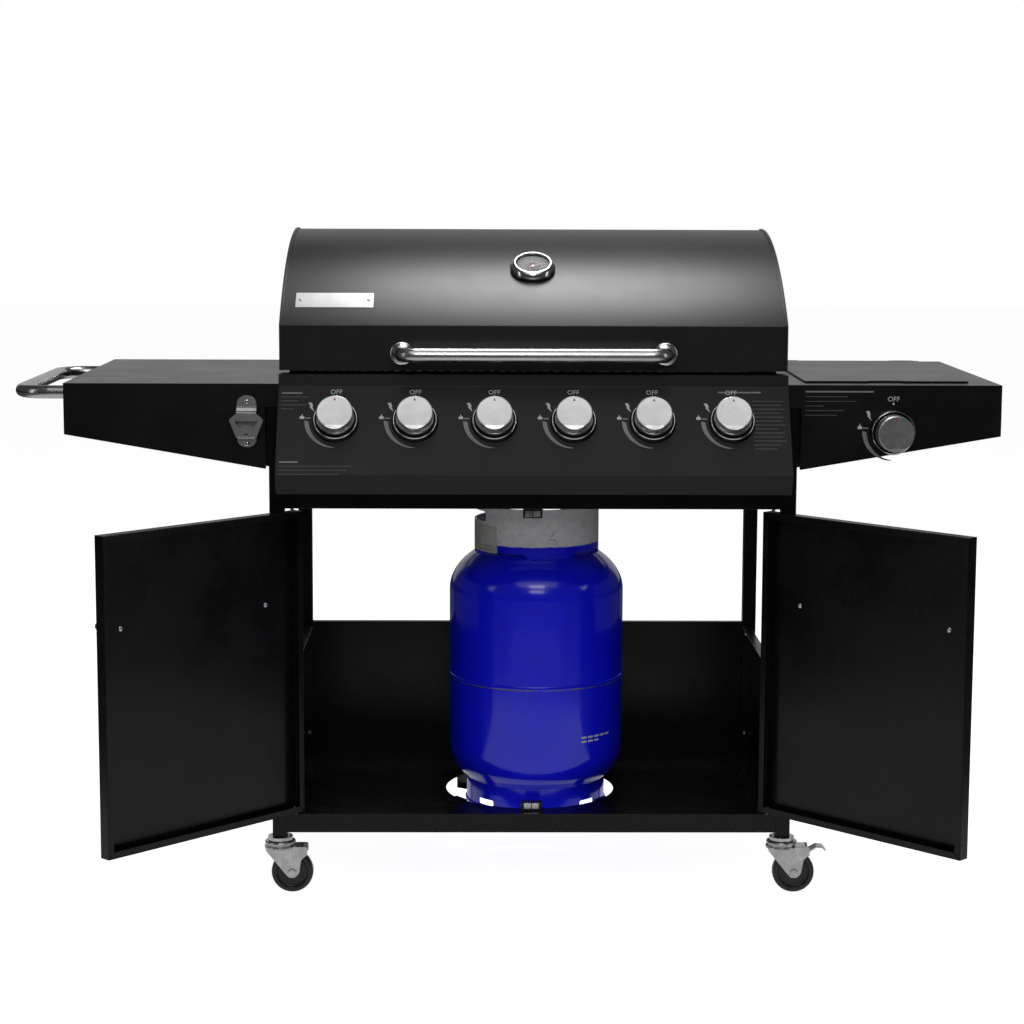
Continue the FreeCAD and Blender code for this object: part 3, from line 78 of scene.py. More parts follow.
# --------------------------------------------------------------------------- shader groups
class Graph:
    """A node tree with short calls to add and join its nodes."""

    def __init__(self, tree: bpy.types.NodeTree) -> None:
        """Keep the tree.

        Args:
            tree: the node tree to write in.
        """
        self.tree = tree

    def add(self, kind: str, values: dict | None = None, **settings: object) -> bpy.types.Node:
        """Add one node.

        Args:
            kind: the node's type without its ShaderNode prefix.
            values: a value or a source socket for each named or numbered input.
            settings: properties of the node itself.

        Returns:
            The new node.
        """
        node = self.tree.nodes.new(kind if kind.startswith("Node") else "ShaderNode" + kind)
        for name, value in settings.items():
            setattr(node, name, value)
        for name, value in (values or {}).items():
            self.feed(node.inputs[name], value)
        return node

    def feed(self, socket: bpy.types.NodeSocket, value: object) -> None:
        """Join a source socket to an input, or set the input's own value.

        Args:
            socket: the input.
            value: a socket or a plain value.
        """
        if isinstance(value, bpy.types.NodeSocket):
            self.tree.links.new(value, socket)
        else:
            socket.default_value = value

    def math(self, how: str, a: object, b: object = 0.0, clamp: bool = False) -> bpy.types.NodeSocket:
        """Give the result of a Math node.

        Args:
            how: the operation.
            a: first value or socket.
            b: second value or socket.
            clamp: keep the result between 0 and 1.

        Returns:
            The node's output.
        """
        return self.add("Math", {0: a, 1: b}, operation=how, use_clamp=clamp).outputs[0]

    def times(self, a: object, b: object, clamp: bool = False) -> bpy.types.NodeSocket:
        """Multiply two values."""
        return self.math("MULTIPLY", a, b, clamp)

    def plus(self, a: object, b: object) -> bpy.types.NodeSocket:
        """Add two values."""
        return self.math("ADD", a, b)

    def minus(self, a: object, b: object) -> bpy.types.NodeSocket:
        """Take the second value from the first."""
        return self.math("SUBTRACT", a, b)

    def effect(self, group: bpy.types.NodeTree, **values: object) -> bpy.types.NodeOutputs:
        """Place a shared effect with its own values, and give its outputs."""
        return self.add("Group", values, node_tree=group).outputs

    def noise(self, place: object, scale: object, detail: float, rough: float = 0.5) -> bpy.types.NodeSocket:
        """Give the value of a Noise Texture.

        Args:
            place: where it is read.
            scale: its scale.
            detail: how many finer layers it has.
            rough: how strong the finer layers are.

        Returns:
            The node's value.
        """
        values = {"Vector": place, "Scale": scale, "Detail": detail, "Roughness": rough}
        return self.add("TexNoise", values).outputs[0]

    def blend(self, share: object, first: object, second: object) -> bpy.types.NodeSocket:
        """Mix two colours.

        Args:
            share: how much of the second colour shows.
            first: first colour.
            second: second colour.

        Returns:
            The mixed colour.
        """
        return self.add("Mix", {0: share, 6: first, 7: second}, data_type="RGBA").outputs[2]

    def ramp(self, value: object, low: float, high: float, top: float = 1.0) -> bpy.types.NodeSocket:
        """Map low..high onto 0..top with soft ends.

        Args:
            value: the source socket.
            low: where the result starts to rise.
            high: where it is full.
            top: the full result.

        Returns:
            The mapped value.
        """
        node = self.add("MapRange", {0: value, 1: low, 2: high, 3: 0.0, 4: top},
                        interpolation_type="SMOOTHSTEP")
        return node.outputs[0]


class EffectGroups:
    """Surface effects that several finishes share, each one a node group that is built once."""

    def __init__(self) -> None:
        """Build every group."""
        self.cloud = self._cloud()
        self.grain = self._grain()
        self.brush = self._brush()
        self.scuff = self._scuff()
        self.edge = self._edge()
        self.dust = self._dust()

    @staticmethod
    def _start(name: str, inputs: dict[str, float], *outputs: str) -> tuple:
        """Make an empty group with its sockets.

        Args:
            name: name of the group.
            inputs: value inputs and what they start at.
            outputs: names of the value outputs.

        Returns:
            The group's graph, its place, its scale, all that it is given, and all that it puts out.
        """
        group = bpy.data.node_groups.new(name, "ShaderNodeTree")
        group.interface.new_socket("Vector", in_out="INPUT", socket_type="NodeSocketVector")
        for label, value in inputs.items():
            socket = group.interface.new_socket(label, in_out="INPUT", socket_type="NodeSocketFloat")
            socket.default_value = value
        for label in outputs:
            group.interface.new_socket(label, in_out="OUTPUT", socket_type="NodeSocketFloat")
        graph = Graph(group)
        given = graph.add("NodeGroupInput").outputs
        return graph, given["Vector"], given["Scale"], given, graph.add("NodeGroupOutput").inputs

    def _cloud(self) -> bpy.types.NodeTree:
        """Large soft patches, as of handling and uneven gloss, from 0 to 1."""
        g, place, scale, _, made = self._start("soft_patches", {"Scale": 9.0}, "Mask")
        wide = g.noise(place, scale, 4.0, 0.55)
        fine = g.noise(place, g.times(scale, 6.7), 3.0)
        g.feed(made["Mask"], g.ramp(g.plus(g.times(wide, 0.7), g.times(fine, 0.3)), 0.32, 0.68))
        return g.tree

    def _grain(self) -> bpy.types.NodeTree:
        """Fine skin of a sprayed or moulded surface, as a height from 0 to 1."""
        g, place, scale, _, made = self._start("fine_skin", {"Scale": 700.0}, "Height")
        pebble = g.noise(place, scale, 2.0, 0.6)
        wave = g.noise(place, g.times(scale, 0.22), 1.0)
        g.feed(made["Height"], g.plus(g.times(pebble, 0.6), g.times(wave, 0.4)))
        return g.tree

    def _brush(self) -> bpy.types.NodeTree:
        """Long fine lines of a brushed metal; the vector is stretched before it comes in."""
        g, place, scale, _, made = self._start("brushed_lines", {"Scale": 900.0}, "Height", "Mask")
        line = g.noise(place, scale, 3.0, 0.7)
        broad = g.noise(place, g.times(scale, 0.17), 2.0)
        g.feed(made["Height"], line)
        g.feed(made["Mask"], g.ramp(g.plus(g.times(line, 0.5), g.times(broad, 0.5)), 0.36, 0.64))
        return g.tree

    def _scuff(self) -> bpy.types.NodeTree:
        """Short scratches that run all ways, and small chips, as two masks."""
        g, place, scale, given, made = self._start("scuffs", {"Scale": 26.0, "Amount": 0.5}, "Lines", "Chips")
        bent = g.add("TexNoise", {"Vector": place, "Scale": g.times(scale, 0.5), "Detail": 2.0})
        shift = g.add("VectorMath", {0: bent.outputs["Color"], 1: (0.09, 0.09, 0.09)}, operation="MULTIPLY")
        way = g.add("VectorMath", {0: place, 1: shift.outputs[0]}, operation="ADD").outputs[0]
        lines = []
        for turn in ((0.5, 0.3, 0.9), (1.9, 1.1, 0.2)):
            lean = g.add("Mapping", {"Vector": way, "Rotation": turn, "Scale": (1.0, 0.06, 1.0)}).outputs[0]
            cell = g.add("TexVoronoi", {"Vector": lean, "Scale": scale}, feature="DISTANCE_TO_EDGE")
            lines.append(g.ramp(g.minus(0.03, cell.outputs["Distance"]), 0.0, 0.03))
        limit = g.minus(0.78, g.times(given["Amount"], 0.28))
        where = g.math("GREATER_THAN", g.noise(place, g.times(scale, 0.4), 5.0), limit)
        g.feed(made["Lines"], g.times(g.math("MAXIMUM", *lines), where, clamp=True))
        spot = g.noise(place, g.times(scale, 2.2), 6.0, 0.75)
        g.feed(made["Chips"], g.ramp(g.minus(spot, g.plus(limit, -0.02)), 0.0, 0.02))
        return g.tree

    def _edge(self) -> bpy.types.NodeTree:
        """Rubbed edges and painted edge highlights: where a rounded copy of the surface faces another way,
        broken up by noise.
        """
        g, place, scale, given, made = self._start("rubbed_edges_and_sheen", {"Radius": 0.0012, "Scale": 60.0}, "Mask")
        facing = g.add("NewGeometry").outputs["Normal"]
        soft = g.add("Bevel", {"Radius": given["Radius"]}, samples=4).outputs[0]
        meet = g.add("VectorMath", {0: facing, 1: soft}, operation="DOT_PRODUCT").outputs["Value"]
        bend = g.ramp(g.minus(1.0, meet), 0.02, 0.22)
        patch = g.ramp(g.noise(place, scale, 5.0, 0.7), 0.4, 0.66)
        g.feed(made["Mask"], g.times(bend, patch, clamp=True))
        return g.tree

    def _dust(self) -> bpy.types.NodeTree:
        """Thin dust on faces that look up, as a mask."""
        g, place, scale, _, made = self._start("settled_dust", {"Scale": 40.0}, "Mask")
        parts = g.add("SeparateXYZ", {0: g.add("NewGeometry").outputs["Normal"]}).outputs
        patch = g.ramp(g.noise(place, scale, 6.0, 0.7), 0.38, 0.7)
        g.feed(made["Mask"], g.times(g.ramp(parts[2], 0.55, 1.0), patch, clamp=True))
        return g.tree


EFFECTS = EffectGroups()


def empty_material(name: str) -> tuple[bpy.types.Material, Graph]:
    """Start a material with nothing in it.

    Args:
        name: name of the material.

    Returns:
        The material and its graph.
    """
    made = bpy.data.materials.new(name)
    made.use_nodes = True
    made.node_tree.nodes.clear()
    return made, Graph(made.node_tree)


# --------------------------------------------------------------------------- finishes
class Brush(Enum):
    """Which way the lines of a brushed finish run, as a stretch of each axis."""

    NONE = (0.0, 0.0, 0.0)
    ALONG_X = (0.02, 1.0, 1.0)
    ALONG_Y = (1.0, 0.02, 1.0)
    ALONG_Z = (1.0, 1.0, 0.02)


@dataclass(frozen=True)
class Finish:
    """One finish: a Principled surface with mottled colour, gloss patches, skin, rubbed edges with a painted
    edge highlight, and dust.

    Colours are linear. Grain is the size of the skin's pebbles and depth its height, in mm.
    """

    name: str
    slot: str
    tint: tuple[float, float, float]
    mottle: tuple[float, float, float]
    metallic: float = 0.0
    rough: float = 0.4
    spread: float = 0.12
    patch: float = 9.0
    grain: float = 1.2
    depth: float = 0.012
    brush: Brush = Brush.NONE
    brush_depth: float = 0.004
    # Edge tint and its share: worn edges on the metals, enamels and the bottle; on the black paints, a
    # painted highlight along the rounded edges.
    rub_tint: tuple[float, float, float] = (0.12, 0.12, 0.12)
    rub: float = 0.3
    scuff_tint: tuple[float, float, float] = (0.2, 0.2, 0.2)
    scuff: float = 0.0
    scuff_size: float = 26.0
    dust: float = 0.0
    coat: float = 0.0
    coat_rough: float = 0.1
    specular: float = 0.5

    def material(self) -> bpy.types.Material:
        """Give the finish's material, and build it the first time.

        Returns:
            The material.
        """
        found = bpy.data.materials.get(self.name)
        if found:
            return found
        made, graph = empty_material(self.name)
        place = graph.add("TexCoord").outputs["Object"]
        shader = graph.add("BsdfPrincipled", {
            "Metallic": self.metallic, "Coat Weight": self.coat, "Coat Roughness": self.coat_rough,
            "Specular IOR Level": self.specular})
        self.dress(graph, place, shader)
        graph.add("OutputMaterial", {"Surface": shader.outputs[0]})
        return made

    def base(self, graph: Graph, place: bpy.types.NodeSocket,
             cloud: bpy.types.NodeSocket) -> bpy.types.NodeSocket:
        """Give the colour under the scuffs and the dust.

        Args:
            graph: the material's graph.
            place: object coordinates; not used here.
            cloud: the patch mask.

        Returns:
            The colour.
        """
        return graph.blend(cloud, (*self.tint, 1.0), (*self.mottle, 1.0))

    def dress(self, graph: Graph, place: bpy.types.NodeSocket, shader: bpy.types.Node) -> None:
        """Join the effects to the shader.

        Args:
            graph: the material's graph.
            place: object coordinates.
            shader: the Principled node.
        """
        cloud = graph.effect(EFFECTS.cloud, Vector=place, Scale=self.patch)[0]
        colour = self.base(graph, place, cloud)
        rough = graph.plus(graph.times(graph.minus(cloud, 0.5), self.spread), self.rough)
        skin = graph.effect(EFFECTS.grain, Vector=place, Scale=1.0 / (self.grain * MM))[0]
        height = graph.times(skin, self.depth)
        if self.brush is not Brush.NONE:
            long = graph.add("Mapping", {"Vector": place, "Scale": self.brush.value}).outputs[0]
            lines = graph.effect(EFFECTS.brush, Vector=long, Scale=BRUSH_SCALE)
            height = graph.plus(height, graph.times(lines["Height"], self.brush_depth))
            rough = graph.plus(rough, graph.times(graph.minus(lines["Mask"], 0.5), self.spread))
            deep = tuple(0.82 * part for part in self.tint)
            colour = graph.blend(graph.times(lines["Mask"], 0.5), colour, (*deep, 1.0))
        if self.scuff:
            marks = graph.effect(EFFECTS.scuff, Vector=place, Scale=self.scuff_size, Amount=self.scuff)
            worn = graph.math("MAXIMUM", graph.times(marks["Lines"], 0.55), marks["Chips"])
            colour = graph.blend(worn, colour, (*self.scuff_tint, 1.0))
            rough = graph.plus(rough, graph.times(worn, 0.25))
            height = graph.minus(height, graph.times(marks["Chips"], 0.05))
        # Edge colour: real wear on the metals, enamels and the bottle. On the black paints the lighter tint
        # is mostly a painted highlight where light would catch the rounded edges.
        if self.rub:
            bare = graph.times(graph.effect(EFFECTS.edge, Vector=place)[0], self.rub)
            colour = graph.blend(bare, colour, (*self.rub_tint, 1.0))
            rough = graph.minus(rough, graph.times(bare, 0.12))
        if self.dust:
            lying = graph.times(graph.effect(EFFECTS.dust, Vector=place)[0], self.dust)
            colour = graph.blend(lying, colour, (0.35, 0.33, 0.3, 1.0))
            rough = graph.plus(rough, graph.times(lying, 0.5))
        bump = graph.add("Bump", {"Height": height, "Strength": 1.0, "Distance": MM})
        graph.feed(shader.inputs["Base Color"], colour)
        graph.feed(shader.inputs["Roughness"], graph.math("MAXIMUM", rough, 0.04, clamp=True))
        graph.feed(shader.inputs["Normal"], bump.outputs[0])


@dataclass(frozen=True)
class BottlePaint(Finish):
    """Blue enamel below a sprayed light grey guard, and bare steel in patches along the weld."""

    grey: tuple[float, float, float] = (0.8, 0.8, 0.81)
    change: float = 576.0
    weld: float = 338.2

    def base(self, graph: Graph, place: bpy.types.NodeSocket,
             cloud: bpy.types.NodeSocket) -> bpy.types.NodeSocket:
        """Give the two-tone colour.

        Args:
            graph: the material's graph.
            place: object coordinates.
            cloud: the patch mask.

        Returns:
            The colour.
        """
        blue = super().base(graph, place, cloud)
        up = graph.add("SeparateXYZ", {0: place}).outputs[2]
        height = graph.plus(up, graph.times(graph.noise(place, 90.0, 4.0), 0.006))
        share = graph.ramp(height, (self.change - 1.0) * MM + 0.003, (self.change + 1.0) * MM + 0.003)
        dirt = graph.noise(place, 90.0, 6.0, 0.7)
        dirty = graph.blend(graph.ramp(dirt, 0.45, 0.7, 0.45), (*self.grey, 1.0), (0.45, 0.45, 0.46, 1.0))
        line = graph.minus(graph.ramp(up, self.weld * MM, (self.weld + 0.5) * MM),
                           graph.ramp(up, (self.weld + 2.2) * MM, (self.weld + 2.8) * MM))
        bare = graph.times(line, graph.ramp(dirt, 0.42, 0.5))
        return graph.blend(bare, graph.blend(share, blue, dirty), (0.09, 0.075, 0.05, 1.0))


@dataclass(frozen=True)
class ClearGlass:
    """Plain clear glass for the dial's window."""

    name: str = "window_glass"
    slot: str = "glass"

    def material(self) -> bpy.types.Material:
        """Give the glass, and build it the first time.

        Returns:
            The material.
        """
        found = bpy.data.materials.get(self.name)
        if found:
            return found
        made, graph = empty_material(self.name)
        place = graph.add("TexCoord").outputs["Object"]
        cloud = graph.effect(EFFECTS.cloud, Vector=place, Scale=60.0)[0]
        shader = graph.add("BsdfPrincipled", {
            "Base Color": (1.0, 1.0, 1.0, 1.0), "Transmission Weight": 1.0, "IOR": 1.12,
            "Roughness": graph.plus(0.01, graph.times(cloud, 0.03))})
        graph.add("OutputMaterial", {"Surface": shader.outputs[0]})
        return made


def coat(name: str, tint: tuple, mottle: tuple, **more: object) -> Finish:
    """Give a black powder coat."""
    return Finish(name, "black_paint", tint, mottle, **more)


def metal(name: str, slot: str, tint: tuple, mottle: tuple, **more: object) -> Finish:
    """Give a bare or plated metal, which has no paint to wear off its edges."""
    return Finish(name, slot, tint, mottle, **{"metallic": 1.0, "rub": 0.0, **more})


def ink(name: str, tint: tuple, mottle: tuple, slot: str = "dial_print", **more: object) -> Finish:
    """Give a flat printed mark."""
    plain = {"rough": 0.5, "spread": 0.1, "patch": 90.0, "grain": 0.5, "depth": 0.004, "rub": 0.0}
    return Finish(name, slot, tint, mottle, **{**plain, **more})


class Finishes:
    """Every finish on the barbecue, by name."""

    # The black paints' lighter edge tints paint a highlight along their rounded edges, with only a little
    # wear.
    cart_paint = coat("cart_powder_coat", (0.0035, 0.0038, 0.0038), (0.005, 0.0053, 0.0053),
                      rough=0.26, spread=0.08, specular=0.25, grain=1.1, depth=0.01,
                      rub_tint=(0.05, 0.05, 0.05), dust=0.02)
    door_paint = coat("door_powder_coat", (0.003, 0.0034, 0.0033), (0.0045, 0.0049, 0.0048), rough=0.27,
                      spread=0.1, specular=0.28, grain=1.3, depth=0.014, rub_tint=(0.05, 0.05, 0.05))
    panel_paint = coat("panel_matt_paint", (0.0055, 0.0058, 0.0057), (0.0075, 0.0078, 0.0077), rough=0.42,
                       spread=0.06, patch=6.0, specular=0.32, grain=0.9, rub_tint=(0.09, 0.09, 0.09), rub=0.5)
    shelf_paint = coat("shelf_powder_coat", (0.004, 0.0044, 0.0043), (0.0055, 0.0059, 0.0058), rough=0.3,
                       spread=0.06, grain=1.0, depth=0.01, rub_tint=(0.07, 0.07, 0.07), dust=0.05)
    hood_paint = Finish("hood_satin_paint", "hood_paint", (0.009, 0.009, 0.0092), (0.0115, 0.0115, 0.0117),
                        rough=0.36, spread=0.04, patch=5.0, grain=0.9, depth=0.009,
                        rub_tint=(0.06, 0.06, 0.06), rub=0.4)
    enamel = Finish("cast_enamel", "black_enamel", (0.01, 0.01, 0.01), (0.016, 0.015, 0.014),
                    rough=0.42, spread=0.25, grain=2.4, depth=0.06, rub_tint=(0.08, 0.07, 0.06), dust=0.05)
    box_steel = Finish("firebox_enamel", "black_enamel", (0.02, 0.019, 0.018), (0.035, 0.032, 0.03),
                       rough=0.5, spread=0.2, grain=1.6, depth=0.03, scuff=0.3)
    stainless_x = metal("brushed_stainless_x", "stainless", (0.62, 0.61, 0.6), (0.56, 0.55, 0.54),
                        rough=0.24, depth=0.001, brush=Brush.ALONG_X)
    stainless_y = replace(stainless_x, name="brushed_stainless_y", brush=Brush.ALONG_Y)
    stainless_z = metal("brushed_stainless_z", "stainless", (0.58, 0.57, 0.56), (0.52, 0.51, 0.5),
                        rough=0.3, spread=0.14, depth=0.001, brush=Brush.ALONG_Z)
    heated = metal("heat_tinted_steel", "stainless", (0.5, 0.47, 0.43), (0.4, 0.33, 0.26),
                   rough=0.34, spread=0.2, patch=16.0, depth=0.006, brush=Brush.ALONG_Y)
    pressed = metal("pressed_steel", "stainless", (0.5, 0.5, 0.495), (0.45, 0.45, 0.445),
                    spread=0.08, patch=40.0, grain=0.6, depth=0.003)
    chrome = metal("bright_chrome", "chrome", (0.78, 0.78, 0.78), (0.7, 0.7, 0.71),
                   rough=0.12, spread=0.06, patch=40.0, depth=0.001)
    smoke_chrome = metal("smoked_chrome", "chrome", (0.16, 0.16, 0.165), (0.12, 0.12, 0.125),
                         rough=0.26, spread=0.08, patch=40.0, depth=0.001)
    rack_wire = metal("chromed_wire", "chrome_wire", (0.6, 0.59, 0.57), (0.5, 0.48, 0.45),
                      rough=0.22, spread=0.15, patch=30.0, depth=0.003)
    knob_silver = metal("satin_knob_plate", "knob_silver", (0.72, 0.72, 0.72), (0.66, 0.66, 0.665),
                        rough=0.33, spread=0.08, patch=60.0, grain=0.5, depth=0.003)
    zinc = metal("zinc_plate", "zinc", (0.66, 0.66, 0.65), (0.5, 0.51, 0.53), rough=0.28, spread=0.16,
                 patch=55.0, grain=0.8, depth=0.01, rub=0.3, rub_tint=(0.8, 0.8, 0.8),
                 scuff=0.25, scuff_tint=(0.4, 0.39, 0.37), scuff_size=60.0)
    brass = metal("turned_brass", "brass", (0.72, 0.5, 0.2), (0.6, 0.4, 0.16), rough=0.28, spread=0.15,
                  patch=50.0, grain=0.7, depth=0.004, rub=0.3, rub_tint=(0.85, 0.65, 0.3))
    iron = Finish("rough_cast_iron", "cast_iron", (0.03, 0.029, 0.028), (0.05, 0.046, 0.043), 0.4,
                  rough=0.6, spread=0.2, patch=40.0, grain=1.6, depth=0.1, rub_tint=(0.15, 0.14, 0.13))
    ceramic = Finish("white_ceramic", "ceramic", (0.75, 0.73, 0.68), (0.62, 0.59, 0.53),
                     rough=0.35, spread=0.2, patch=70.0, grain=0.8, depth=0.01, rub_tint=(0.6, 0.55, 0.5))
    plastic = Finish("black_moulding", "black_plastic", (0.009, 0.009, 0.0095), (0.013, 0.013, 0.0135),
                     rough=0.42, spread=0.14, patch=45.0, grain=0.6, rub_tint=(0.06, 0.06, 0.06))
    tyre = Finish("wheel_nylon", "wheel_plastic", (0.011, 0.011, 0.0115), (0.02, 0.02, 0.0205),
                  rough=0.38, spread=0.2, patch=50.0, grain=0.8, depth=0.02, rub_tint=(0.1, 0.1, 0.1),
                  scuff=0.35, scuff_tint=(0.09, 0.088, 0.085), scuff_size=70.0, dust=0.05)
    bottle = BottlePaint("bottle_enamel", "bottle_paint", (0.0065, 0.011, 0.92), (0.0055, 0.009, 0.82),
                         rough=0.17, spread=0.14, patch=14.0, grain=3.5, depth=0.03,
                         rub_tint=(0.03, 0.035, 0.09), rub=0.6, scuff=0.2,
                         scuff_tint=(0.17, 0.19, 0.36), scuff_size=24.0, coat=0.3, coat_rough=0.06)
    dial = ink("dial_black_print", (0.012, 0.012, 0.012), (0.017, 0.017, 0.017),
               rough=0.6, patch=80.0, specular=0.06)
    white_print = ink("white_print", (0.78, 0.78, 0.77), (0.66, 0.66, 0.65))
    grey_print = ink("grey_print", (0.3, 0.3, 0.29), (0.24, 0.24, 0.235))
    faint_print = ink("faint_print", (0.11, 0.11, 0.108), (0.08, 0.08, 0.078))
    red = ink("red_enamel", (0.62, 0.012, 0.02), (0.5, 0.01, 0.015), "red_paint", rough=0.35)
    label = ink("label_paper", (0.6, 0.6, 0.58), (0.5, 0.49, 0.46), rough=0.55, spread=0.15, patch=60.0,
                grain=0.6, depth=0.012, scuff=0.4, scuff_tint=(0.3, 0.29, 0.27), scuff_size=60.0)
    glass = ClearGlass()


# --------------------------------------------------------------------------- bench
class Plane(Enum):
    """The plane that an outline is drawn in."""

    XY = "xy"
    XZ = "xz"
    YZ = "yz"

    def spot(self, u: float, v: float, w: float = 0.0) -> Vector:
        """Give the point at (u, v) in the plane and w across it."""
        return Vector({"xy": (u, v, w), "xz": (u, w, v), "yz": (w, u, v)}[self.value])


class Blank:
    """A lump of stock in the maker's millimetres, shaped by bench operations that can be chained."""

    def __init__(self) -> None:
        """Start with nothing on the bench."""
        self.bm = bmesh.new()
        self.tip: bmesh.types.BMVert | None = None

    @classmethod
    def block(cls, low: Point, high: Point) -> "Blank":
        """Cut a block between two corners.

        Args:
            low: lowest corner.
            high: highest corner.

        Returns:
            The block.
        """
        made, a, b = cls(), Vector(low), Vector(high)
        bmesh.ops.create_cube(made.bm, size=1.0, matrix=Matrix.Translation((a + b) / 2)
                              @ Matrix.Diagonal((*(b - a), 1.0)))
        return made

    @classmethod
    def wire(cls, start: Point) -> "Blank":
        """Start an open line at a point."""
        made = cls()
        made.tip = made.bm.verts.new(start)
        return made

    @classmethod
    def outline(cls, plane: Plane, points: Iterable[tuple[float, float]], across: float = 0.0) -> "Blank":
        """Draw a closed flat shape.

        Args:
            plane: the plane of the outline.
            points: its corners in that plane.
            across: where the plane stands.

        Returns:
            The filled shape.
        """
        made = cls()
        made.bm.faces.new([made.bm.verts.new(plane.spot(u, v, across)) for u, v in points])
        return made

    @classmethod
    def disc(cls, radius: float, sides: int = 32) -> "Blank":
        """Cut a flat disc about the Z axis."""
        made = cls()
        bmesh.ops.create_circle(made.bm, cap_ends=True, radius=radius, segments=sides)
        return made

    @classmethod
    def turned(cls, profile: Sequence[tuple[float, float]], steps: int = 64) -> "Blank":
        """Turn a profile on the lathe.

        Args:
            profile: (radius, height) corners from one end of the line to the other.
            steps: cuts in the full turn.

        Returns:
            The turned part about the Z axis.
        """
        made = cls()
        line = [made.bm.verts.new((r, 0.0, h)) for r, h in profile]
        edges = [made.bm.edges.new(pair) for pair in zip(line, line[1:])]
        bmesh.ops.spin(made.bm, geom=line + edges, cent=(0, 0, 0), axis=(0, 0, 1), dvec=(0, 0, 0),
                       angle=math.tau, steps=steps, use_merge=True)
        return made.cleaned()

    @classmethod
    def from_node(cls, node: str) -> "Blank":
        """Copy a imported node's shape, with its loose triangles joined into clean faces."""
        made = cls()
        made.bm.from_mesh(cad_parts[node].data)
        bmesh.ops.transform(made.bm, matrix=DATUM.from_row, verts=made.bm.verts)
        bmesh.ops.remove_doubles(made.bm, verts=made.bm.verts, dist=0.004)
        bmesh.ops.dissolve_degenerate(made.bm, edges=made.bm.edges, dist=0.004)
        bmesh.ops.dissolve_limit(made.bm, angle_limit=math.radians(0.4), verts=made.bm.verts,
                                 edges=made.bm.edges)
        for face in made.bm.faces:
            face.material_index = 0
        return made

    def cleaned(self, reach: float = 0.0005) -> "Blank":
        """Join points that lie within reach of each other and turn every face outwards."""
        bmesh.ops.remove_doubles(self.bm, verts=self.bm.verts, dist=reach)
        bmesh.ops.recalc_face_normals(self.bm, faces=self.bm.faces)
        return self

    def line(self, *points: Point) -> "Blank":
        """Carry the line on through more points."""
        for point in points:
            here = self.bm.verts.new(point)
            self.bm.edges.new((self.tip, here))
            self.tip = here
        return self

    def arc(self, centre: Point, axis: Point, degrees: float, steps: int) -> "Blank":
        """Carry the line on along an arc.

        Args:
            centre: middle of the arc.
            axis: axis that it turns about.
            degrees: how far.
            steps: number of straight bits.

        Returns:
            The same blank.
        """
        made = bmesh.ops.spin(self.bm, geom=[self.tip], cent=centre, axis=axis, dvec=(0, 0, 0),
                              angle=math.radians(degrees), steps=steps, use_merge=False)
        self.tip = next(v for v in made["geom_last"] if isinstance(v, bmesh.types.BMVert))
        return self

    def closed(self) -> "Blank":
        """Close the line on its own start and fill it with one face."""
        self.bm.verts.ensure_lookup_table()
        self.bm.edges.new((self.tip, self.bm.verts[0]))
        bmesh.ops.contextual_create(self.bm, geom=self.bm.edges[:])
        return self

    def poured(self, other: "Blank") -> "Blank":
        """Add another blank's shape to this one, and use that blank up."""
        mesh = bpy.data.meshes.new("blank")
        other.bm.to_mesh(mesh)
        other.bm.free()
        self.bm.from_mesh(mesh)
        bpy.data.meshes.remove(mesh)
        return self

    def pierced(self, *holes: "Blank") -> "Blank":
        """Cut flat shapes out of this flat shape; all of them lie in one XZ plane."""
        for hole in holes:
            self.poured(hole)
        bmesh.ops.delete(self.bm, geom=self.bm.faces[:], context="FACES_ONLY")
        bmesh.ops.triangle_fill(self.bm, use_beauty=True, edges=self.bm.edges[:], normal=(0.0, -1.0, 0.0))
        bmesh.ops.recalc_face_normals(self.bm, faces=self.bm.faces)
        return self

    def wrapped(self, radius: float, steps: int = 96) -> "Blank":
        """Roll a flat sheet in the XZ plane round the Z axis, outside face out.

        Args:
            radius: of the roll; the line X = 0 ends up at the front.
            steps: flat strips in a whole turn.

        Returns:
            The same blank.
        """
        pitch = 2.0 * math.pi * radius / steps
        left = math.ceil(min(v.co.x for v in self.bm.verts) / pitch)
        right = math.floor(max(v.co.x for v in self.bm.verts) / pitch)
        for index in range(left, right + 1):
            bmesh.ops.bisect_plane(self.bm, geom=self.bm.verts[:] + self.bm.edges[:] + self.bm.faces[:],
                                   dist=1e-4, plane_co=(index * pitch, 0.0, 0.0), plane_no=(1.0, 0.0, 0.0))
        for vert in self.bm.verts:
            turn = vert.co.x / radius
            vert.co = (radius * math.sin(turn), -radius * math.cos(turn), vert.co.z)
        self.cleaned()
        self.bm.faces.ensure_lookup_table()
        first = self.bm.faces[0]
        if first.normal.xy.dot(first.calc_center_median().xy) < 0.0:
            bmesh.ops.reverse_faces(self.bm, faces=self.bm.faces[:])
        return self

    def rounded(self, radius: float, steps: int = 4) -> "Blank":
        """Round every corner of a flat shape."""
        bmesh.ops.bevel(self.bm, geom=self.bm.verts[:], offset=radius, offset_type="OFFSET", segments=steps,
                        profile=0.5, affect="VERTICES", clamp_overlap=True, material=-1)
        return self

    def pulled(self, way: Point) -> "Blank":
        """Extrude faces into a solid, or a bare line into a sheet."""
        if self.bm.faces:
            made = bmesh.ops.extrude_face_region(self.bm, geom=self.bm.faces[:])
        else:
            made = bmesh.ops.extrude_edge_only(self.bm, edges=self.bm.edges[:])
        moved = [v for v in made["geom"] if isinstance(v, bmesh.types.BMVert)]
        bmesh.ops.translate(self.bm, vec=way, verts=moved)
        bmesh.ops.recalc_face_normals(self.bm, faces=self.bm.faces)
        return self

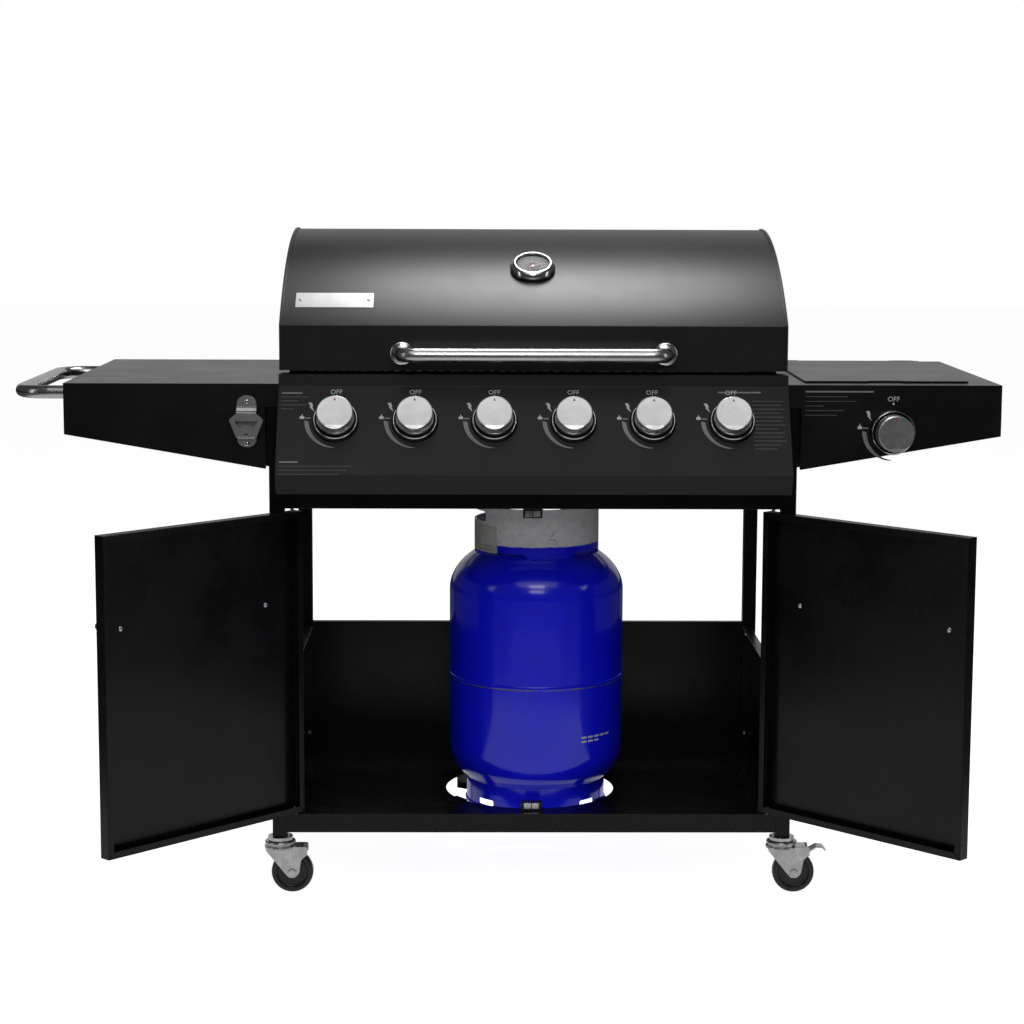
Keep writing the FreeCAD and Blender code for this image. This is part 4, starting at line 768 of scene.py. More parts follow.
    def thick(self, thickness: float, flip: bool = False) -> "Blank":
        """Give a sheet its wall.

        Args:
            thickness: wall in millimetres.
            flip: turn the sheet round first, so that the wall goes to the other side.

        Returns:
            The same blank.
        """
        if flip:
            bmesh.ops.reverse_faces(self.bm, faces=self.bm.faces[:])
        bmesh.ops.solidify(self.bm, geom=self.bm.faces[:], thickness=thickness)
        return self

    def soften(self, width: float = 0.5, over: float = 28.0, steps: int = 2) -> "Blank":
        """Round every edge that turns sharply.

        Args:
            width: size of the rounding in millimetres.
            over: edges that turn by more degrees than this are rounded.
            steps: segments across the rounding.

        Returns:
            The same blank.
        """
        sharp = [e for e in self.bm.edges
                 if len(e.link_faces) == 2 and e.calc_face_angle(0.0) > math.radians(over)]
        if sharp:
            bmesh.ops.bevel(self.bm, geom=sharp, offset=width, offset_type="OFFSET", segments=steps,
                            profile=0.5, affect="EDGES", clamp_overlap=True, material=-1)
        return self

    def moved(self, matrix: Matrix) -> "Blank":
        """Move the blank by a matrix."""
        bmesh.ops.transform(self.bm, matrix=matrix, verts=self.bm.verts)
        return self

    def shifted(self, way: Point) -> "Blank":
        """Slide the blank."""
        return self.moved(Matrix.Translation(way))

    def spun(self, centre: Point, axis: Point, degrees: float) -> "Blank":
        """Turn the blank about an axis through a point."""
        here = Matrix.Translation(centre)
        return self.moved(here @ Matrix.Rotation(math.radians(degrees), 4, Vector(axis)) @ here.inverted())

    def aimed(self, base: Point, out: Point, up: Point = UP) -> "Blank":
        """Stand the blank at base with its Z along out and its Y as near to up as it can be.

        Args:
            base: where its zero goes.
            out: direction of its Z axis.
            up: direction that its Y axis leans to.

        Returns:
            The same blank.
        """
        return self.moved(seat_matrix(base, out, up))

    def mirrored(self) -> "Blank":
        """Flip the blank to the other side of X = 0, with its faces still outwards."""
        bmesh.ops.transform(self.bm, matrix=Matrix.Diagonal((-1.0, 1.0, 1.0, 1.0)), verts=self.bm.verts)
        bmesh.ops.reverse_faces(self.bm, faces=self.bm.faces[:])
        return self


def seat_matrix(base: Point, out: Point, up: Point = UP) -> Matrix:
    """Give the matrix that stands a part at base with Z along out and Y towards up.

    Args:
        base: where zero goes.
        out: direction of Z.
        up: direction that Y leans to.

    Returns:
        The matrix.
    """
    z = Vector(out).normalized()
    y = Vector(up) - z * Vector(up).dot(z)
    if y.length < 1e-6:
        y = Vector((0.0, 1.0, 0.0)) - z * z.y
    y.normalize()
    x = y.cross(z)
    turn = Matrix((x, y, z)).transposed().to_4x4()
    return Matrix.Translation(base) @ turn


def tube(points: Sequence[Point], radius: float, bend: float = 0.0, sides: int = 24, steps: int = 8) -> Blank:
    """Bend a round bar along straight runs with arcs at the corners.

    Args:
        points: corners of its line.
        radius: of the bar.
        bend: radius of each arc, to the bar's middle.
        sides: faces round the bar.
        steps: cuts in each arc.

    Returns:
        The closed bar.
    """
    made, line = Blank(), [Vector(p) for p in points]
    way, here = (line[1] - line[0]).normalized(), line[0]
    start = bmesh.ops.create_circle(made.bm, cap_ends=True, radius=radius, segments=sides,
                                    matrix=seat_matrix(here, way))
    cap = list({f for v in start["verts"] for f in v.link_faces})
    for index, corner in enumerate(line[1:], 1):
        last = index == len(line) - 1
        ahead = way if last else (line[index + 1] - corner).normalized()
        turn = way.angle(ahead)
        back = bend * math.tan(turn / 2)
        grown = bmesh.ops.extrude_face_region(made.bm, geom=cap)
        bmesh.ops.translate(made.bm, vec=corner - way * back - here,
                            verts=[v for v in grown["geom"] if isinstance(v, bmesh.types.BMVert)])
        cap = [f for f in grown["geom"] if isinstance(f, bmesh.types.BMFace)]
        if not last:
            side = (ahead - way * ahead.dot(way)).normalized()
            swept = bmesh.ops.spin(made.bm, geom=cap, cent=corner - way * back + side * bend,
                                   axis=way.cross(side), dvec=(0, 0, 0), angle=turn, steps=steps,
                                   use_merge=False)
            cap = [f for f in swept["geom_last"] if isinstance(f, bmesh.types.BMFace)]
            here, way = corner + ahead * back, ahead
    return made.cleaned()


def rod(start: Point, way: Point, radius: float, length: float, edge: float = 0.4) -> Blank:
    """Cut a round rod with broken edges.

    Args:
        start: middle of one end.
        way: direction that it runs in.
        radius: of the rod.
        length: of the rod.
        edge: rounding at its ends.

    Returns:
        The rod.
    """
    return Blank.disc(radius).pulled(UP * length).soften(edge, 40.0).aimed(start, way)


def lettering(text: str, size: float, thickness: float = 0.12) -> Blank:
    """Cut flat characters, centred, that stand on their back in the XY plane.

    Args:
        text: the characters.
        size: their height.
        thickness: how far they stand out.

    Returns:
        The characters as one blank.
    """
    curve = bpy.data.curves.new("characters", "FONT")
    curve.body, curve.size = text, size * 1.35
    curve.align_x, curve.align_y = "CENTER", "CENTER"
    curve.resolution_u = 3
    curve.extrude = thickness / 2
    holder = bpy.data.objects.new("characters", curve)
    mesh = bpy.data.meshes.new_from_object(holder)
    made = Blank()
    made.bm.from_mesh(mesh)
    bpy.data.objects.remove(holder)
    bpy.data.curves.remove(curve)
    bpy.data.meshes.remove(mesh)
    return made.cleaned()


class Seat(NamedTuple):
    """Where a part stands that was made about the Z axis, and which ways its Z and Y axes look."""

    base: Vector
    out: Vector
    up: Vector = UP


class Piece:
    """One finished piece: blanks of one or more finishes that become a single object."""

    def __init__(self, name: str) -> None:
        """Start a piece.

        Args:
            name: name of the object.
        """
        self.name = name
        self.stock = Blank()
        self.finishes: list[Finish | ClearGlass] = []

    def add(self, finish: "Finish | ClearGlass", *blanks: Blank) -> "Piece":
        """Join blanks to the piece in one finish.

        Args:
            finish: what they are coated in.
            blanks: the shaped blanks.

        Returns:
            The same piece.
        """
        if finish not in self.finishes:
            self.finishes.append(finish)
        index = self.finishes.index(finish)
        for blank in blanks:
            for face in blank.bm.faces:
                face.material_index = index
            self.stock.poured(blank)
        return self

    def fit(self, seat: Seat, *pairs: tuple) -> "Piece":
        """Add parts that were made about the Z axis, all at one seat.

        Args:
            seat: where they stand.
            pairs: a finish and its part in each.

        Returns:
            The same piece.
        """
        for finish, part in pairs:
            self.add(finish, part.aimed(*seat))
        return self

    def place(self, body: str, *nodes: str) -> bpy.types.Object:
        """Make the object, dress it and hang it on its body.

        Args:
            body: the body that it rides on.
            nodes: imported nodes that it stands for.

        Returns:
            The object.
        """
        for face in self.stock.bm.faces:
            face.smooth = True
        self.stock.moved(DATUM.to_row)
        mesh = bpy.data.meshes.new(self.name)
        self.stock.bm.to_mesh(mesh)
        self.stock.bm.free()
        mesh.set_sharp_from_angle(angle=math.radians(CREASE))
        made = bpy.data.objects.new(self.name, mesh)
        bpy.context.scene.collection.objects.link(made)
        for finish in self.finishes:
            mesh.materials.append(finish.material())
        even = made.modifiers.new("even_shading", "WEIGHTED_NORMAL")
        even.keep_sharp = True
        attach(made, body)
        if nodes:
            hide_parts(*nodes)
        LOG.info("%s: %d faces on %s", self.name, len(mesh.polygons), body)
        return made


def dress_node(node: str, finish: Finish, body: str, width: float) -> None:
    """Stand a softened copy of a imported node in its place, in one finish.

    Args:
        node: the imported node.
        finish: its finish.
        body: the body that it rides on.
        width: rounding of its edges.
    """
    Piece(node + "_skin").add(finish, Blank.from_node(node).soften(width)).place(body, node)


# --------------------------------------------------------------------------- cart
@dataclass
class Cart:
    """Legs, rails, bottom shelf, panels and their fastenings."""

    catch_heights: tuple[float, float] = (637.0, 140.0)
    catch_side: float = 6.6

    def build(self) -> None:
        """Dress the frame, its sheets and the small parts on them."""
        for node, width in (("legs", 1.3), ("front_beam", 1.2), ("top_rails", 1.2), ("tray_rails", 0.4),
                            ("bottom_shelf", 0.5), ("bottle_rests", 0.4), ("back_panel", 0.45),
                            ("side_panels", 0.45)):
            dress_node(node, Finishes.cart_paint, "cart", width)
        self.build_catches()
        for node, width in (("caster_sockets", 0.5), ("hinge_pins", 0.4), ("frame_screws", 0.25)):
            dress_node(node, Finishes.zinc, "cart", width)

    def build_catches(self) -> None:
        """Dress both double catches and set a pair of steel plates in each."""
        piece = Piece("door_catches_skin").add(Finishes.plastic, Blank.from_node("door_catches").soften(0.8))
        for z in self.catch_heights:
            for x in (-self.catch_side, self.catch_side):
                plate = Blank.block((x - 6.0, 20.7, z - 0.5), (x + 6.0, 21.9, z + 9.5)).soften(0.35)
                piece.add(Finishes.zinc, plate)
        piece.place("cart", "door_catches")


# --------------------------------------------------------------------------- cooking
class Cooker:
    """Firebox, burners, grates and the gas run to them."""

    def build(self) -> None:
        """Dress everything inside the firebox and behind the panel."""
        for node, finish, width in (
                ("firebox", Finishes.box_steel, 0.5), ("burner_tubes", Finishes.heated, 0.3),
                ("flame_tamers", Finishes.heated, 0.4), ("cooking_grates", Finishes.enamel, 1.4),
                ("warming_rack", Finishes.rack_wire, 0.3), ("gas_manifold", Finishes.zinc, 0.3),
                ("burner_valves", Finishes.brass, 0.5), ("igniter_electrodes", Finishes.ceramic, 0.4)):
            dress_node(node, finish, "cart", width)
        dress_node("grease_tray", Finishes.stainless_y, "tray", 0.4)


# --------------------------------------------------------------------------- panel and knobs
@dataclass
class ControlPanel:
    """Folded panel across the front, its print marks, the bezels and the knobs."""

    half: float = 416.0
    sheet: float = 1.2
    face_top: tuple[float, float] = (-8.0, 855.0)
    face_low: tuple[float, float] = (-95.0, 719.0)
    pitch: float = 128.5
    count: int = 6
    drop: float = 65.0
    side_seat: tuple[float, float, float] = (590.0, 0.0, 781.0)
    print_thick: float = 0.1
    out: Vector = field(init=False)
    up: Vector = field(init=False)

    def __post_init__(self) -> None:
        """Work out which way the sloping face looks."""
        rise = Vector((0.0, self.face_top[0] - self.face_low[0], self.face_top[1] - self.face_low[1]))
        self.up = rise.normalized()
        self.out = Vector((0.0, -self.up.z, self.up.y))

    def on_face(self, x: float, drop: float, out: float = 0.0) -> Vector:
        """Give the point on the face at x, drop below its top fold and out from it."""
        return Vector((x, *self.face_top)) - self.up * drop + self.out * out

    def seats(self) -> list[Seat]:
        """Give the seats of all seven knobs, the side burner's last."""
        row = [(i - (self.count - 1) / 2) * self.pitch for i in range(self.count)]
        found = [Seat(self.on_face(x, self.drop), self.out, self.up) for x in row]
        return found + [Seat(self.side_seat, FRONT)]

    def build(self) -> None:
        """Make the panel, its marks, bezels and knobs."""
        self.build_shell()
        for index, seat in enumerate(self.seats()):
            name = "side_knob" if index == self.count else f"knob_{index + 1}"
            self.build_bezel(name, seat)
            self.build_marks(name, seat)
            self.build_knob(name, seat)
        self.build_text_blocks()

    def build_shell(self) -> None:
        """Fold the panel and close its two ends."""
        low_y, low_z = -77.0, 686.0
        line = [(34.0, 874.0), (-6.0, 874.0), self.face_top, self.face_low, (low_y, low_z), (0.0, low_z)]
        skin = Blank.wire((-self.half, *line[0])).line(*[(-self.half, *p) for p in line[1:]])
        skin.pulled((2 * self.half, 0.0, 0.0))
        top = max(skin.bm.faces, key=lambda f: f.calc_center_median().z)
        skin.thick(self.sheet, flip=top.normal.z < 0).soften(1.3, 8.0, 3)
        piece = Piece("control_panel_skin").add(Finishes.panel_paint, skin)
        corners = [(0.0, 873.4), (-6.0, 873.4), (-7.5, 855.0), (-94.0, 719.0), (-76.4, 686.6), (0.0, 686.6)]
        for side in (-1.0, 1.0):
            end = Blank.outline(Plane.YZ, corners, side * (self.half - self.sheet))
            end.pulled((side * self.sheet, 0.0, 0.0)).soften(0.4)
            piece.add(Finishes.panel_paint, end)
        piece.place("cart", "control_panel")

    def build_bezel(self, name: str, seat: Seat) -> None:
        """Turn one knob's bezel: a smoked cone, a bright lip and a dark well.

        Args:
            name: the knob's name.
            seat: where it stands.
        """
        cone = Blank.turned([(33.0, 0.05), (38.0, 0.05), (37.9, 1.0), (37.2, 3.2), (36.2, 6.4),
                             (35.9, 7.6)], 96)
        lip = Blank.turned([(35.9, 7.6), (35.9, 8.6), (35.5, 9.5), (34.8, 10.0), (34.1, 9.9), (33.7, 9.3),
                            (33.6, 8.2)], 96)
        well = Blank.turned([(33.6, 8.2), (33.3, 4.0), (33.0, 0.05)], 96)
        piece = Piece(name + "_bezel")
        piece.fit(seat, (Finishes.smoke_chrome, cone), (Finishes.chrome, lip), (Finishes.plastic, well))
        piece.stock.cleaned(0.01)
        made = piece.place("cart")
        if name == "knob_1":
            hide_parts("knob_bezels")

    def build_knob(self, name: str, seat: Seat) -> None:
        """Turn one knob: black skirt, bright ring, silver cap with its cut-away foot and red mark.

        Args:
            name: the knob's name.
            seat: where it stands.
        """
        skirt = Blank.turned([(3.0, 2.2), (30.4, 2.2), (31.0, 2.8), (31.0, 12.2), (30.6, 12.9), (29.5, 13.2),
                              (29.3, 14.6)], 96)
        ring = Blank.turned([(29.2, 14.2), (30.1, 14.3), (30.4, 15.0), (30.1, 15.8), (29.2, 15.9)], 96)
        cap = Blank.turned([(29.3, 15.6), (29.8, 16.2), (30.0, 17.0), (30.0, 33.2), (29.75, 34.3),
                            (29.0, 35.2), (27.8, 35.6), (20.0, 35.3), (10.0, 35.15), (0.0, 35.1)], 96)
        cut = seat_matrix((0.0, -24.0, 35.4), (0.0, -0.34, 1.0))
        sliced = bmesh.ops.bisect_plane(cap.bm, geom=cap.bm.verts[:] + cap.bm.edges[:] + cap.bm.faces[:],
                                        plane_co=cut.translation, plane_no=cut.to_3x3() @ UP,
                                        clear_outer=True, dist=0.001)
        edges = [e for e in sliced["geom_cut"] if isinstance(e, bmesh.types.BMEdge)]
        bmesh.ops.contextual_create(cap.bm, geom=edges)
        cap.cleaned().soften(0.5, 14.0)
        mark = Blank.outline(Plane.XY, [(-2.2, 20.6), (2.2, 20.6), (0.0, 25.2)], 35.35).rounded(0.3, 2)
        mark.pulled((0.0, 0.0, 0.28))
        stem = rod((0.0, 0.0, -28.0), UP, 3.0, 32.0)
        piece = Piece(name + "_turned").fit(
            seat, (Finishes.knob_silver, cap), (Finishes.plastic, skirt), (Finishes.chrome, ring),
            (Finishes.red, mark), (Finishes.zinc, stem))
        piece.place(name + "_body", name)

    def build_marks(self, name: str, seat: Seat) -> None:
        """Print the marks round one knob: a word, a dot, a spark, a flame and a tapering arc.

        Args:
            name: the knob's name.
            seat: where it stands.
        """
        thin = 0.12
        word = lettering("OFF", 8.4).shifted((0.0, 54.0, thin / 2))
        dot = Blank.disc(1.9, 16).pulled((0.0, 0.0, thin)).shifted((0.0, 46.5, 0.0))
        bolt = Blank.outline(Plane.XY, [(-4.4, 8.0), (1.2, 8.0), (3.6, 1.2), (2.0, 1.0), (5.2, -8.0),
                                        (-2.6, 0.4), (-0.6, 0.6)])
        bolt.pulled((0.0, 0.0, thin)).shifted((-40.6, 26.5, 0.0))
        flame = Blank.outline(Plane.XY, [(-3.6, -4.0), (3.6, -4.0), (3.6, 0.4), (1.4, 0.6), (0.0, 5.4),
                                         (-1.4, 0.6), (-3.6, 0.4)])
        flame.pulled((0.0, 0.0, thin)).shifted((-54.5, 9.0, 0.0))
        tick = Blank.block((-49.5, 5.2, 0.0), (-40.5, 7.4, thin)).soften(0.05)
        arc = Blank.wire((-50.5, 2.0, 0.0)).arc((-1.0, 2.0, 0.0), (0.0, 0.0, 1.0), 84.0, 28)
        arc.line((-1.6 + 3.0, -46.4, 0.0)).arc((4.6, 1.6, 0.0), (0.0, 0.0, -1.0), 84.0, 28).closed()
        arc.pulled((0.0, 0.0, thin))
        piece = Piece(name + "_marks")
        for finish, parts in ((Finishes.white_print, (word, dot, bolt, flame)),
                              (Finishes.grey_print, (tick, arc))):
            piece.fit(seat, *((finish, part.shifted((0.0, 0.0, 0.04))) for part in parts))
        piece.place("cart")

    def build_text_blocks(self) -> None:
        """Print plain grey rules where the panel and the side shelf carry their small print."""
        piece = Piece("panel_small_print")
        for x, drop, title, widths in (
                (-410.0, 13.0, True, (34.0, 44.0, 27.0, 40.0, 20.0)),
                (-410.0, 138.0, True, (30.0, 118.0, 108.0, 96.0)), (300.0, 10.0, True, (70.0,)),
                (356.0, 26.0, False, (50.0, 46.0, 52.0, 44.0, 50.0, 47.0, 52.0, 40.0, 50.0, 46.0, 51.0,
                                      44.0, 36.0))):
            for row, width in enumerate(widths):
                finish, tall = self.rule(title and row == 0)
                bar = Blank.block((0.0, -tall / 2, 0.0), (width, tall / 2, self.print_thick))
                piece.add(finish, bar.aimed(self.on_face(x, drop + row * 7.2, 0.05), self.out, self.up))
        for row, width in enumerate((112.0, 70.0, 84.0, 30.0, 64.0, 52.0)):
            finish, tall = self.rule(row == 0)
            low = 846.0 - row * 7.6
            bar = Blank.block((445.0, -0.1 - self.print_thick, low), (445.0 + width, -0.1, low + tall))
            piece.add(finish, bar)
        piece.place("cart")

    @staticmethod
    def rule(title: bool) -> tuple[Finish, float]:
        """Give the finish and the height of a title's rule or of a plain line's."""
        return (Finishes.grey_print, 2.6) if title else (Finishes.faint_print, 1.3)


# --------------------------------------------------------------------------- shelves
@dataclass
class SideShelves:
    """Both side shelves, the towel bar, the bottle opener and the side burner."""

    bar_r: float = 11.0
    bar_x: float = 849.0
    bar_z: float = 841.0
    bar_front: float = 30.0
    bar_rear: float = 455.0
    bend: float = 52.0
    end: float = 767.0
    opener_x: float = -469.0

    def build(self) -> None:
        """Dress the shelves and all that is on them."""
        for side in ("left", "right"):
            bracket = Blank.block((435.6, 27.0, 719.0), (439.0, 430.0, 820.5)).soften(0.5)
            bracket.poured(Blank.block((436.0, 27.6, 719.5), (450.0, 31.0, 820.0)))
            piece = Piece(side + "_shelf_skin").add(
                Finishes.shelf_paint, Blank.from_node(side + "_shelf").soften(0.55),
                bracket if side == "right" else bracket.mirrored())
            piece.place("cart", side + "_shelf")
        self.build_towel_bar()
        self.build_opener()
        dress_node("side_lid", Finishes.shelf_paint, "side_lid", 0.7)
        dress_node("side_burner", Finishes.iron, "cart", 0.6)
        dress_node("side_grate", Finishes.enamel, "cart", 0.3)

    def build_opener(self) -> None:
        """Press the bottle opener: a screwed tab, a stepped bow and a plate with a tongued slot."""
        x = self.opener_x
        tab = Blank.outline(Plane.XZ, [(x - 16.0, 757.0), (x + 16.0, 757.0), (x + 16.0, 841.5),
                                       (x - 16.0, 841.5)], -0.2)
        tab.rounded(14.0, 10).pulled((0.0, -1.8, 0.0)).soften(0.5, 40.0)
        plate = Blank.outline(Plane.XZ, [(x - 16.4, 773.0), (x + 16.4, 773.0), (x + 27.6, 801.0),
                                         (x + 26.6, 804.5), (x + 17.0, 812.5), (x - 17.0, 812.5),
                                         (x - 26.6, 804.5), (x - 27.6, 801.0)], -10.6)
        slot = Blank.outline(Plane.XZ, [(x - 11.4, 789.0), (x - 9.0, 789.6), (x - 6.6, 793.0),
                                        (x - 3.4, 794.8), (x + 3.4, 794.8), (x + 6.6, 793.0),
                                        (x + 9.0, 789.6), (x + 11.4, 789.0), (x + 19.0, 800.5),
                                        (x - 19.0, 800.5)], -10.6)
        plate.rounded(2.2).pierced(slot.rounded(0.8, 2)).pulled((0.0, -1.8, 0.0)).soften(0.6, 40.0)
        bow = Blank.wire((x - 16.6, -2.0, 824.5)).line(
            (x - 16.6, -6.4, 822.6), (x - 16.6, -7.4, 821.0), (x - 16.6, -7.4, 818.2),
            (x - 16.6, -8.6, 816.6), (x - 16.6, -12.2, 814.4), (x - 16.6, -12.4, 811.4))
        foot = Blank.wire((x - 14.6, -12.4, 775.4)).line((x - 14.6, -11.6, 773.0), (x - 14.6, -2.0, 770.6))
        bow.pulled((33.2, 0.0, 0.0)).thick(1.8).soften(0.6, 50.0)
        foot.pulled((29.2, 0.0, 0.0)).thick(1.6).soften(0.5, 50.0)
        piece = Piece("bottle_opener_pressing").add(Finishes.pressed, tab, plate, bow, foot)
        dimple = Blank.outline(Plane.XZ, [(x - 3.4, 778.0), (x + 3.4, 778.0), (x + 2.4, 780.2),
                                          (x - 2.4, 780.2)], -12.3)
        piece.add(Finishes.smoke_chrome, dimple.rounded(0.8, 3).pulled((0.0, -0.5, 0.0)))
        for z in (831.5, 762.5):
            head = Blank.turned([(0.0, 0.0), (4.4, 0.0), (4.2, 1.0), (3.2, 1.9), (1.6, 2.3), (0.0, 2.4)], 32)
            cross = Blank.block((-2.0, -0.4, 2.0), (2.0, 0.4, 2.5))
            cross.poured(Blank.block((-0.4, -2.0, 2.0), (0.4, 2.0, 2.5)))
            piece.fit(Seat((x, -2.0, z), FRONT), (Finishes.chrome, head), (Finishes.plastic, cross))
        piece.stock.shifted((0.0, 0.0, -3.0))
        piece.place("cart", "bottle_opener")

    def build_towel_bar(self) -> None:
        """Bend the towel bar; both its ends stand in the shelf's end wall."""
        corners = [(-self.end, self.bar_front, self.bar_z), (-self.bar_x, self.bar_front, self.bar_z),
                   (-self.bar_x, self.bar_rear, self.bar_z), (-self.end, self.bar_rear, self.bar_z)]
        bar = tube(corners, self.bar_r, self.bend, 32, 14)
        Piece("towel_bar_tube").add(Finishes.stainless_y, bar).place("cart", "towel_bar")


# --------------------------------------------------------------------------- hood
@dataclass
class Hood:
    """Rolled hood with its end plates, handle, thermometer and badge."""

    half: float = 413.0
    low: float = 880.0
    radius: float = 578.0
    crest: tuple[float, float] = (388.0, 1103.0)
    rear: float = 92.0
    back_low: float = 905.0
    sheet: float = 1.2
    grip_r: float = 11.7
    grip_bend: float = 22.0
    grip_x: float = 215.0
    grip: tuple[float, float] = (-45.0, 908.0)
    gauge_y: float = 125.0
    gauge_lean: float = 58.0
    sweep: float = 240.0
    badge_x: tuple[float, float] = (-391.0, -263.0)
    badge_y: float = 47.0
    badge_half: float = 19.0

    def profile(self, grow: float, x: float, foot: float, back: float) -> Blank:
        """Draw the hood's side line.

        Args:
            grow: how far outside the rolled sheet it runs.
            x: where it stands.
            foot: height that its front starts from.
            back: height that its back goes down to.

        Returns:
            The open line.
        """
        cy, top = self.crest
        centre = (x, cy, top - self.radius)
        radius = self.radius + grow
        sweep = math.degrees(math.asin((cy + grow) / radius))
        crease = top - self.radius + radius * math.cos(math.radians(sweep))
        line = Blank.wire((x, -grow, foot)).line((x, -grow, crease))
        line.arc(centre, (-1.0, 0.0, 0.0), sweep, 56)
        line.arc((x, cy, top - self.rear), (-1.0, 0.0, 0.0), 90.0, 18)
        return line.line((x, cy + self.rear + grow, back))

    def build(self) -> None:
        """Make the hood and everything on it."""
        self.build_shell()
        self.build_ends()
        self.build_handle()
        self.build_gauge()
        self.build_badge()

    def build_shell(self) -> None:
        """Roll the sheet, with its crease and the lip under the front band."""
        skin = self.profile(0.0, -self.half, self.low, self.back_low)
        skin.tip = min(skin.bm.verts, key=lambda v: (v.co.z, v.co.y))
        skin.line((-self.half, 14.0, self.low + 0.1))
        skin.pulled((2 * self.half, 0.0, 0.0))
        top = max(skin.bm.faces, key=lambda f: f.calc_center_median().z)
        skin.thick(self.sheet, flip=top.normal.z < 0)
        skin.soften(1.1, 20.0, 3)
        Piece("hood_roll").add(Finishes.hood_paint, skin).place("hood", "hood_shell")

    def build_ends(self) -> None:
        """Cut both end plates and wrap a rolled rim round them."""
        piece = Piece("hood_end_plates")
        for side in (-1.0, 1.0):
            x = side * self.half
            plate = self.profile(1.0, x, self.low, self.low + 3.0)
            plate.line((x, 438.0, self.low + 3.0), (x, 438.0, self.low)).closed()
            plate.pulled((side * 2.0, 0.0, 0.0)).soften(0.5)
            rim = self.profile(0.0, side * (self.half + 2.0), self.low, self.low + 3.0)
            rim.pulled((-side * 5.0, 0.0, 0.0))
            top = max(rim.bm.faces, key=lambda f: f.calc_center_median().z)
            rim.thick(2.2, flip=top.normal.z > 0).soften(0.9, 40.0, 3)
            piece.add(Finishes.hood_paint, plate, rim)
        piece.place("hood", "hood_ends")

    def build_handle(self) -> None:
        """Bend the bar back at both ends into its round roses."""
        (y, z), x = self.grip, self.grip_x
        bar = tube([(-x, 0.5, z), (-x, y, z), (x, y, z), (x, 0.5, z)], self.grip_r, self.grip_bend, 48, 14)
        piece = Piece("hood_handle_bar").add(Finishes.stainless_x, bar)
        for side in (-1.0, 1.0):
            rose = Blank.turned([(0.0, 0.0), (19.4, 0.0), (20.0, 0.6), (20.0, 2.0), (19.2, 3.6), (17.4, 4.7),
                                 (14.0, 5.2), (12.6, 5.8), (11.0, 6.6), (0.0, 6.6)], 64)
            piece.fit(Seat((side * x, 0.0, z), FRONT), (Finishes.chrome, rose))
        piece.place("hood", "hood_handle")

    def gauge_seat(self) -> Seat:
        """Give the thermometer's seat on the roof."""
        cy, top = self.crest
        z = top - self.radius + math.sqrt(self.radius ** 2 - (cy - self.gauge_y) ** 2)
        lean = math.radians(self.gauge_lean)
        return Seat(Vector((0.0, self.gauge_y, z)), Vector((0.0, -math.cos(lean), math.sin(lean))),
                    Vector((0.0, math.sin(lean), math.cos(lean))))

    def build_gauge(self) -> None:
        """Make the thermometer: case, dial with its scale, pointer and window."""
        seat = self.gauge_seat()
        case = Blank.turned([(4.0, 2.8), (34.0, 3.0), (37.4, 4.0), (38.0, 4.8), (37.6, 7.4), (36.6, 10.2),
                             (35.0, 12.8), (33.0, 14.8), (31.2, 15.7), (29.6, 16.0), (28.4, 15.6),
                             (27.7, 14.6), (27.5, 13.4), (27.5, 4.2)], 96)
        well = rod((0.0, 0.0, -58.0), UP, 4.0, 61.0)
        floor = Blank.disc(28.0, 64).pulled((0.0, 0.0, -0.8)).shifted((0.0, 0.0, 4.1))
        Piece("thermometer_body").fit(seat, (Finishes.chrome, case), (Finishes.chrome, floor),
                                      (Finishes.stainless_z, well)).place("hood", "thermometer_case")
        self.build_dial(seat)
        blade = Blank.outline(Plane.XY, [(-1.2, -7.0), (1.2, -7.0), (1.4, 0.0), (0.35, 20.5), (-0.35, 20.5),
                                         (-1.4, 0.0)], 7.2)
        blade.pulled((0.0, 0.0, 0.6)).spun((0.0, 0.0, 0.0), UP, -55.0)
        hub = Blank.turned([(0.0, 4.3), (2.6, 4.3), (2.8, 7.6), (2.5, 8.6), (1.6, 9.0), (0.0, 9.1)], 32)
        Piece("thermometer_pointer").fit(seat, (Finishes.red, blade), (Finishes.chrome, hub)).place(
            "gauge_needle", "thermometer_needle")
        lens = Blank.turned([(0.0, 11.3), (26.9, 11.3), (27.2, 11.6), (27.2, 12.4), (26.9, 12.7),
                             (20.0, 12.95), (10.0, 13.15), (0.0, 13.2)], 64)
        Piece("thermometer_window").fit(seat, (Finishes.glass, lens)).place("hood", "thermometer_lens")

    def build_dial(self, seat: Seat) -> None:
        """Print the thermometer's dial: a scale of ticks, numbers and a red end.

        Args:
            seat: the thermometer's seat.
        """
        disc = Blank.turned([(3.3, 4.3), (27.1, 4.3), (27.1, 5.9), (3.3, 5.9)], 64)
        piece = Piece("thermometer_scale").fit(seat, (Finishes.dial, disc))
        for step in range(41):
            side, low = (0.35, 20.6) if step % 5 == 0 else (0.2, 22.4)
            tick = Blank.block((-side, low, 5.9), (side, 24.6, 6.05))
            tick.spun((0.0, 0.0, 0.0), UP, self.sweep / 2 - self.sweep * step / 40)
            piece.fit(seat, (Finishes.red if step > 34 else Finishes.white_print, tick))
        for step in range(9):
            angle = math.radians(self.sweep / 2 - self.sweep * step / 8)
            number = lettering(str(50 * step), 3.3, 0.1)
            number.shifted((-16.6 * math.sin(angle), 16.6 * math.cos(angle), 6.0))
            piece.fit(seat, (Finishes.white_print, number))
        piece.place("hood", "thermometer_dial")

